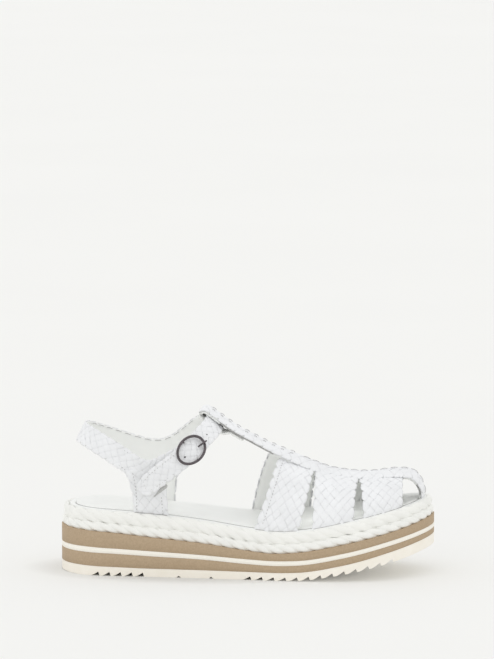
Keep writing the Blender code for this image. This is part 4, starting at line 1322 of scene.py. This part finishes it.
def dark_metal():
    finish = Finish("dark_metal")
    cloud = finish.clouds(400.0, 3.0, srgb(70, 64, 67), srgb(92, 84, 88))
    finish.roughness(cloud, 0.18, 0.32)
    finish.set(Metallic=1.0, Coat_Weight=1.0, Coat_Roughness=0.06)
    return finish.material


# Stage, light and camera

def make_floor():
    """A pale light table: it glows a little, and the glow is left out in a patch round where the sole
    stands, a painted shadow under the sole.
    """
    mesh = bpy.data.meshes.new("floor")
    far = FLOOR_REACH
    corners = [(-far, -far, 0), (far, -far, 0), (far, far, 0), (-far, far, 0)]
    mesh.from_pydata(corners, [], [(0, 1, 2, 3)])
    finish = Finish("pale_floor")
    finish.clouds(3.0, 2.0, srgb(224, 224, 222), srgb(225, 225, 223))
    finish.set(Roughness=0.9, Specular_IOR_Level=0.1, Emission_Color=(1, 1, 0.99, 1))
    # Inside this patch the glow fades to nothing: a painted shadow under the sole
    patch = finish.nodes.new("ShaderNodeMapping")
    patch.vector_type = "TEXTURE"
    patch.inputs["Location"].default_value = SHADOW_PATCH_MIDDLE
    patch.inputs["Scale"].default_value = SHADOW_PATCH_REACH
    finish.links.new(finish.position, patch.inputs["Vector"])
    shade = finish.nodes.new("ShaderNodeTexGradient")
    shade.gradient_type = "SPHERICAL"
    finish.links.new(patch.outputs["Vector"], shade.inputs["Vector"])
    glow = finish.nodes.new("ShaderNodeMapRange")
    glow.inputs["From Max"].default_value = SHADOW_PATCH_EDGE
    glow.inputs["To Min"].default_value = FLOOR_GLOW
    glow.inputs["To Max"].default_value = 0.0
    finish.links.new(shade.outputs["Fac"], glow.inputs["Value"])
    finish.links.new(glow.outputs["Result"], finish.shader.inputs["Emission Strength"])
    mesh.materials.append(finish.material)
    add_object("floor", mesh)


def make_light():
    world = bpy.data.worlds.new("studio")
    bpy.context.scene.world = world
    world.use_nodes = True
    sky = world.node_tree.nodes["Background"]
    sky.inputs["Color"].default_value = (1.0, 1.0, 0.995, 1)
    sky.inputs["Strength"].default_value = SKY_STRENGTH
    for name, direction, spread, strength in LAMPS:
        lamp = add_object(name, bpy.data.lights.new(name, "SUN"))
        lamp.data.angle = math.radians(spread)
        lamp.data.energy = strength
        lamp.rotation_mode = "QUATERNION"
        lamp.rotation_quaternion = (-Vector(direction)).to_track_quat("-Z", "Y")
    inside = add_object("inside", bpy.data.lights.new("inside", "AREA"))
    inside.data.shape = "RECTANGLE"
    inside.data.size, inside.data.size_y = INSIDE_SIZE
    inside.data.energy = INSIDE_POWER
    inside.location = INSIDE_PLACE
    bpy.context.scene.view_settings.view_transform = "Standard"


def make_camera():
    azimuth, elevation = math.radians(VIEW_AZIMUTH), math.radians(VIEW_ELEVATION)
    back = Vector(
        (
            math.sin(azimuth) * math.cos(elevation),
            -math.cos(azimuth) * math.cos(elevation),
            math.sin(elevation),
        )
    )
    right = (-back).cross(Vector((0, 0, 1))).normalized()
    up = right.cross(-back)
    pitch = math.atan((VIEW_AIM_PIXEL[1] - FRAME_HEIGHT / 2) / FOCAL_PIXELS)
    yaw = math.atan((VIEW_AIM_PIXEL[0] - FRAME_WIDTH / 2) / FOCAL_PIXELS)
    ahead = -back * math.cos(pitch) + up * math.sin(pitch)
    top = up * math.cos(pitch) + back * math.sin(pitch)
    sight = ahead * math.cos(yaw) - right * math.sin(yaw)
    side = right * math.cos(yaw) + ahead * math.sin(yaw)
    data = bpy.data.cameras.new("camera")
    data.sensor_width = SENSOR_WIDTH
    data.lens = FOCAL_PIXELS * SENSOR_WIDTH / FRAME_HEIGHT
    data.clip_end = CLIP_END
    camera = add_object("camera", data)
    turned = Matrix((side, top, -sight)).transposed()
    camera.matrix_world = Matrix.Translation(Vector(VIEW_AIM) + back * VIEW_DISTANCE) @ turned.to_4x4()
    bpy.context.scene.camera = camera


def main():
    make_camera()
    make_light()
    make_floor()
    leather, lining, rope = white_leather(), white_lining(), white_rope()
    tan = foam("tan_foam", srgb(175, 153, 125), srgb(185, 163, 135))
    cream = foam("cream_foam", srgb(247, 243, 232), srgb(251, 247, 238))
    metal = dark_metal()
    # This grey is the T-bar's raw underside, and also paints the shadow lines where straps and posts go
    # behind the rope
    edge = fibres("raw_edge_and_shadow_line", srgb(168, 167, 166), srgb(190, 189, 188), 700.0, 5.0, 0.85)
    # This thread grey also paints the shadow lens under the ankle strap's end
    thread = fibres("seam_thread_and_gap_shade", srgb(186, 186, 185), srgb(204, 204, 202))
    # This grey paints the shade dashes on the T-bar, and colours strap 1's stitches
    mark = fibres("weave_shade", srgb(200, 200, 200), srgb(216, 216, 215))
    # Painted shade inside the strap's punched holes
    shade = fibres("painted_hole_shade", srgb(92, 91, 90), srgb(118, 117, 116))
    make_outsole(cream_rubber())
    make_layer("midsole_lower", "outsole", "stripe_low", tan, "tan_foam")
    make_layer("midsole_stripe", "stripe_low", "stripe_high", cream, "cream_foam")
    make_layer("midsole_upper", "stripe_high", "rope_low", tan, "tan_foam")
    make_rope("rope_lower", "rope_low", "rope_mid", rope)
    make_rope("rope_upper", "rope_mid", "rope_high", rope)
    make_insole(lining, thread)
    make_vamp(leather, lining, edge, mark)
    make_quarter(leather, lining, edge, thread, shade)
    make_buckle(metal)


main()
bpy.context.view_layer.update()
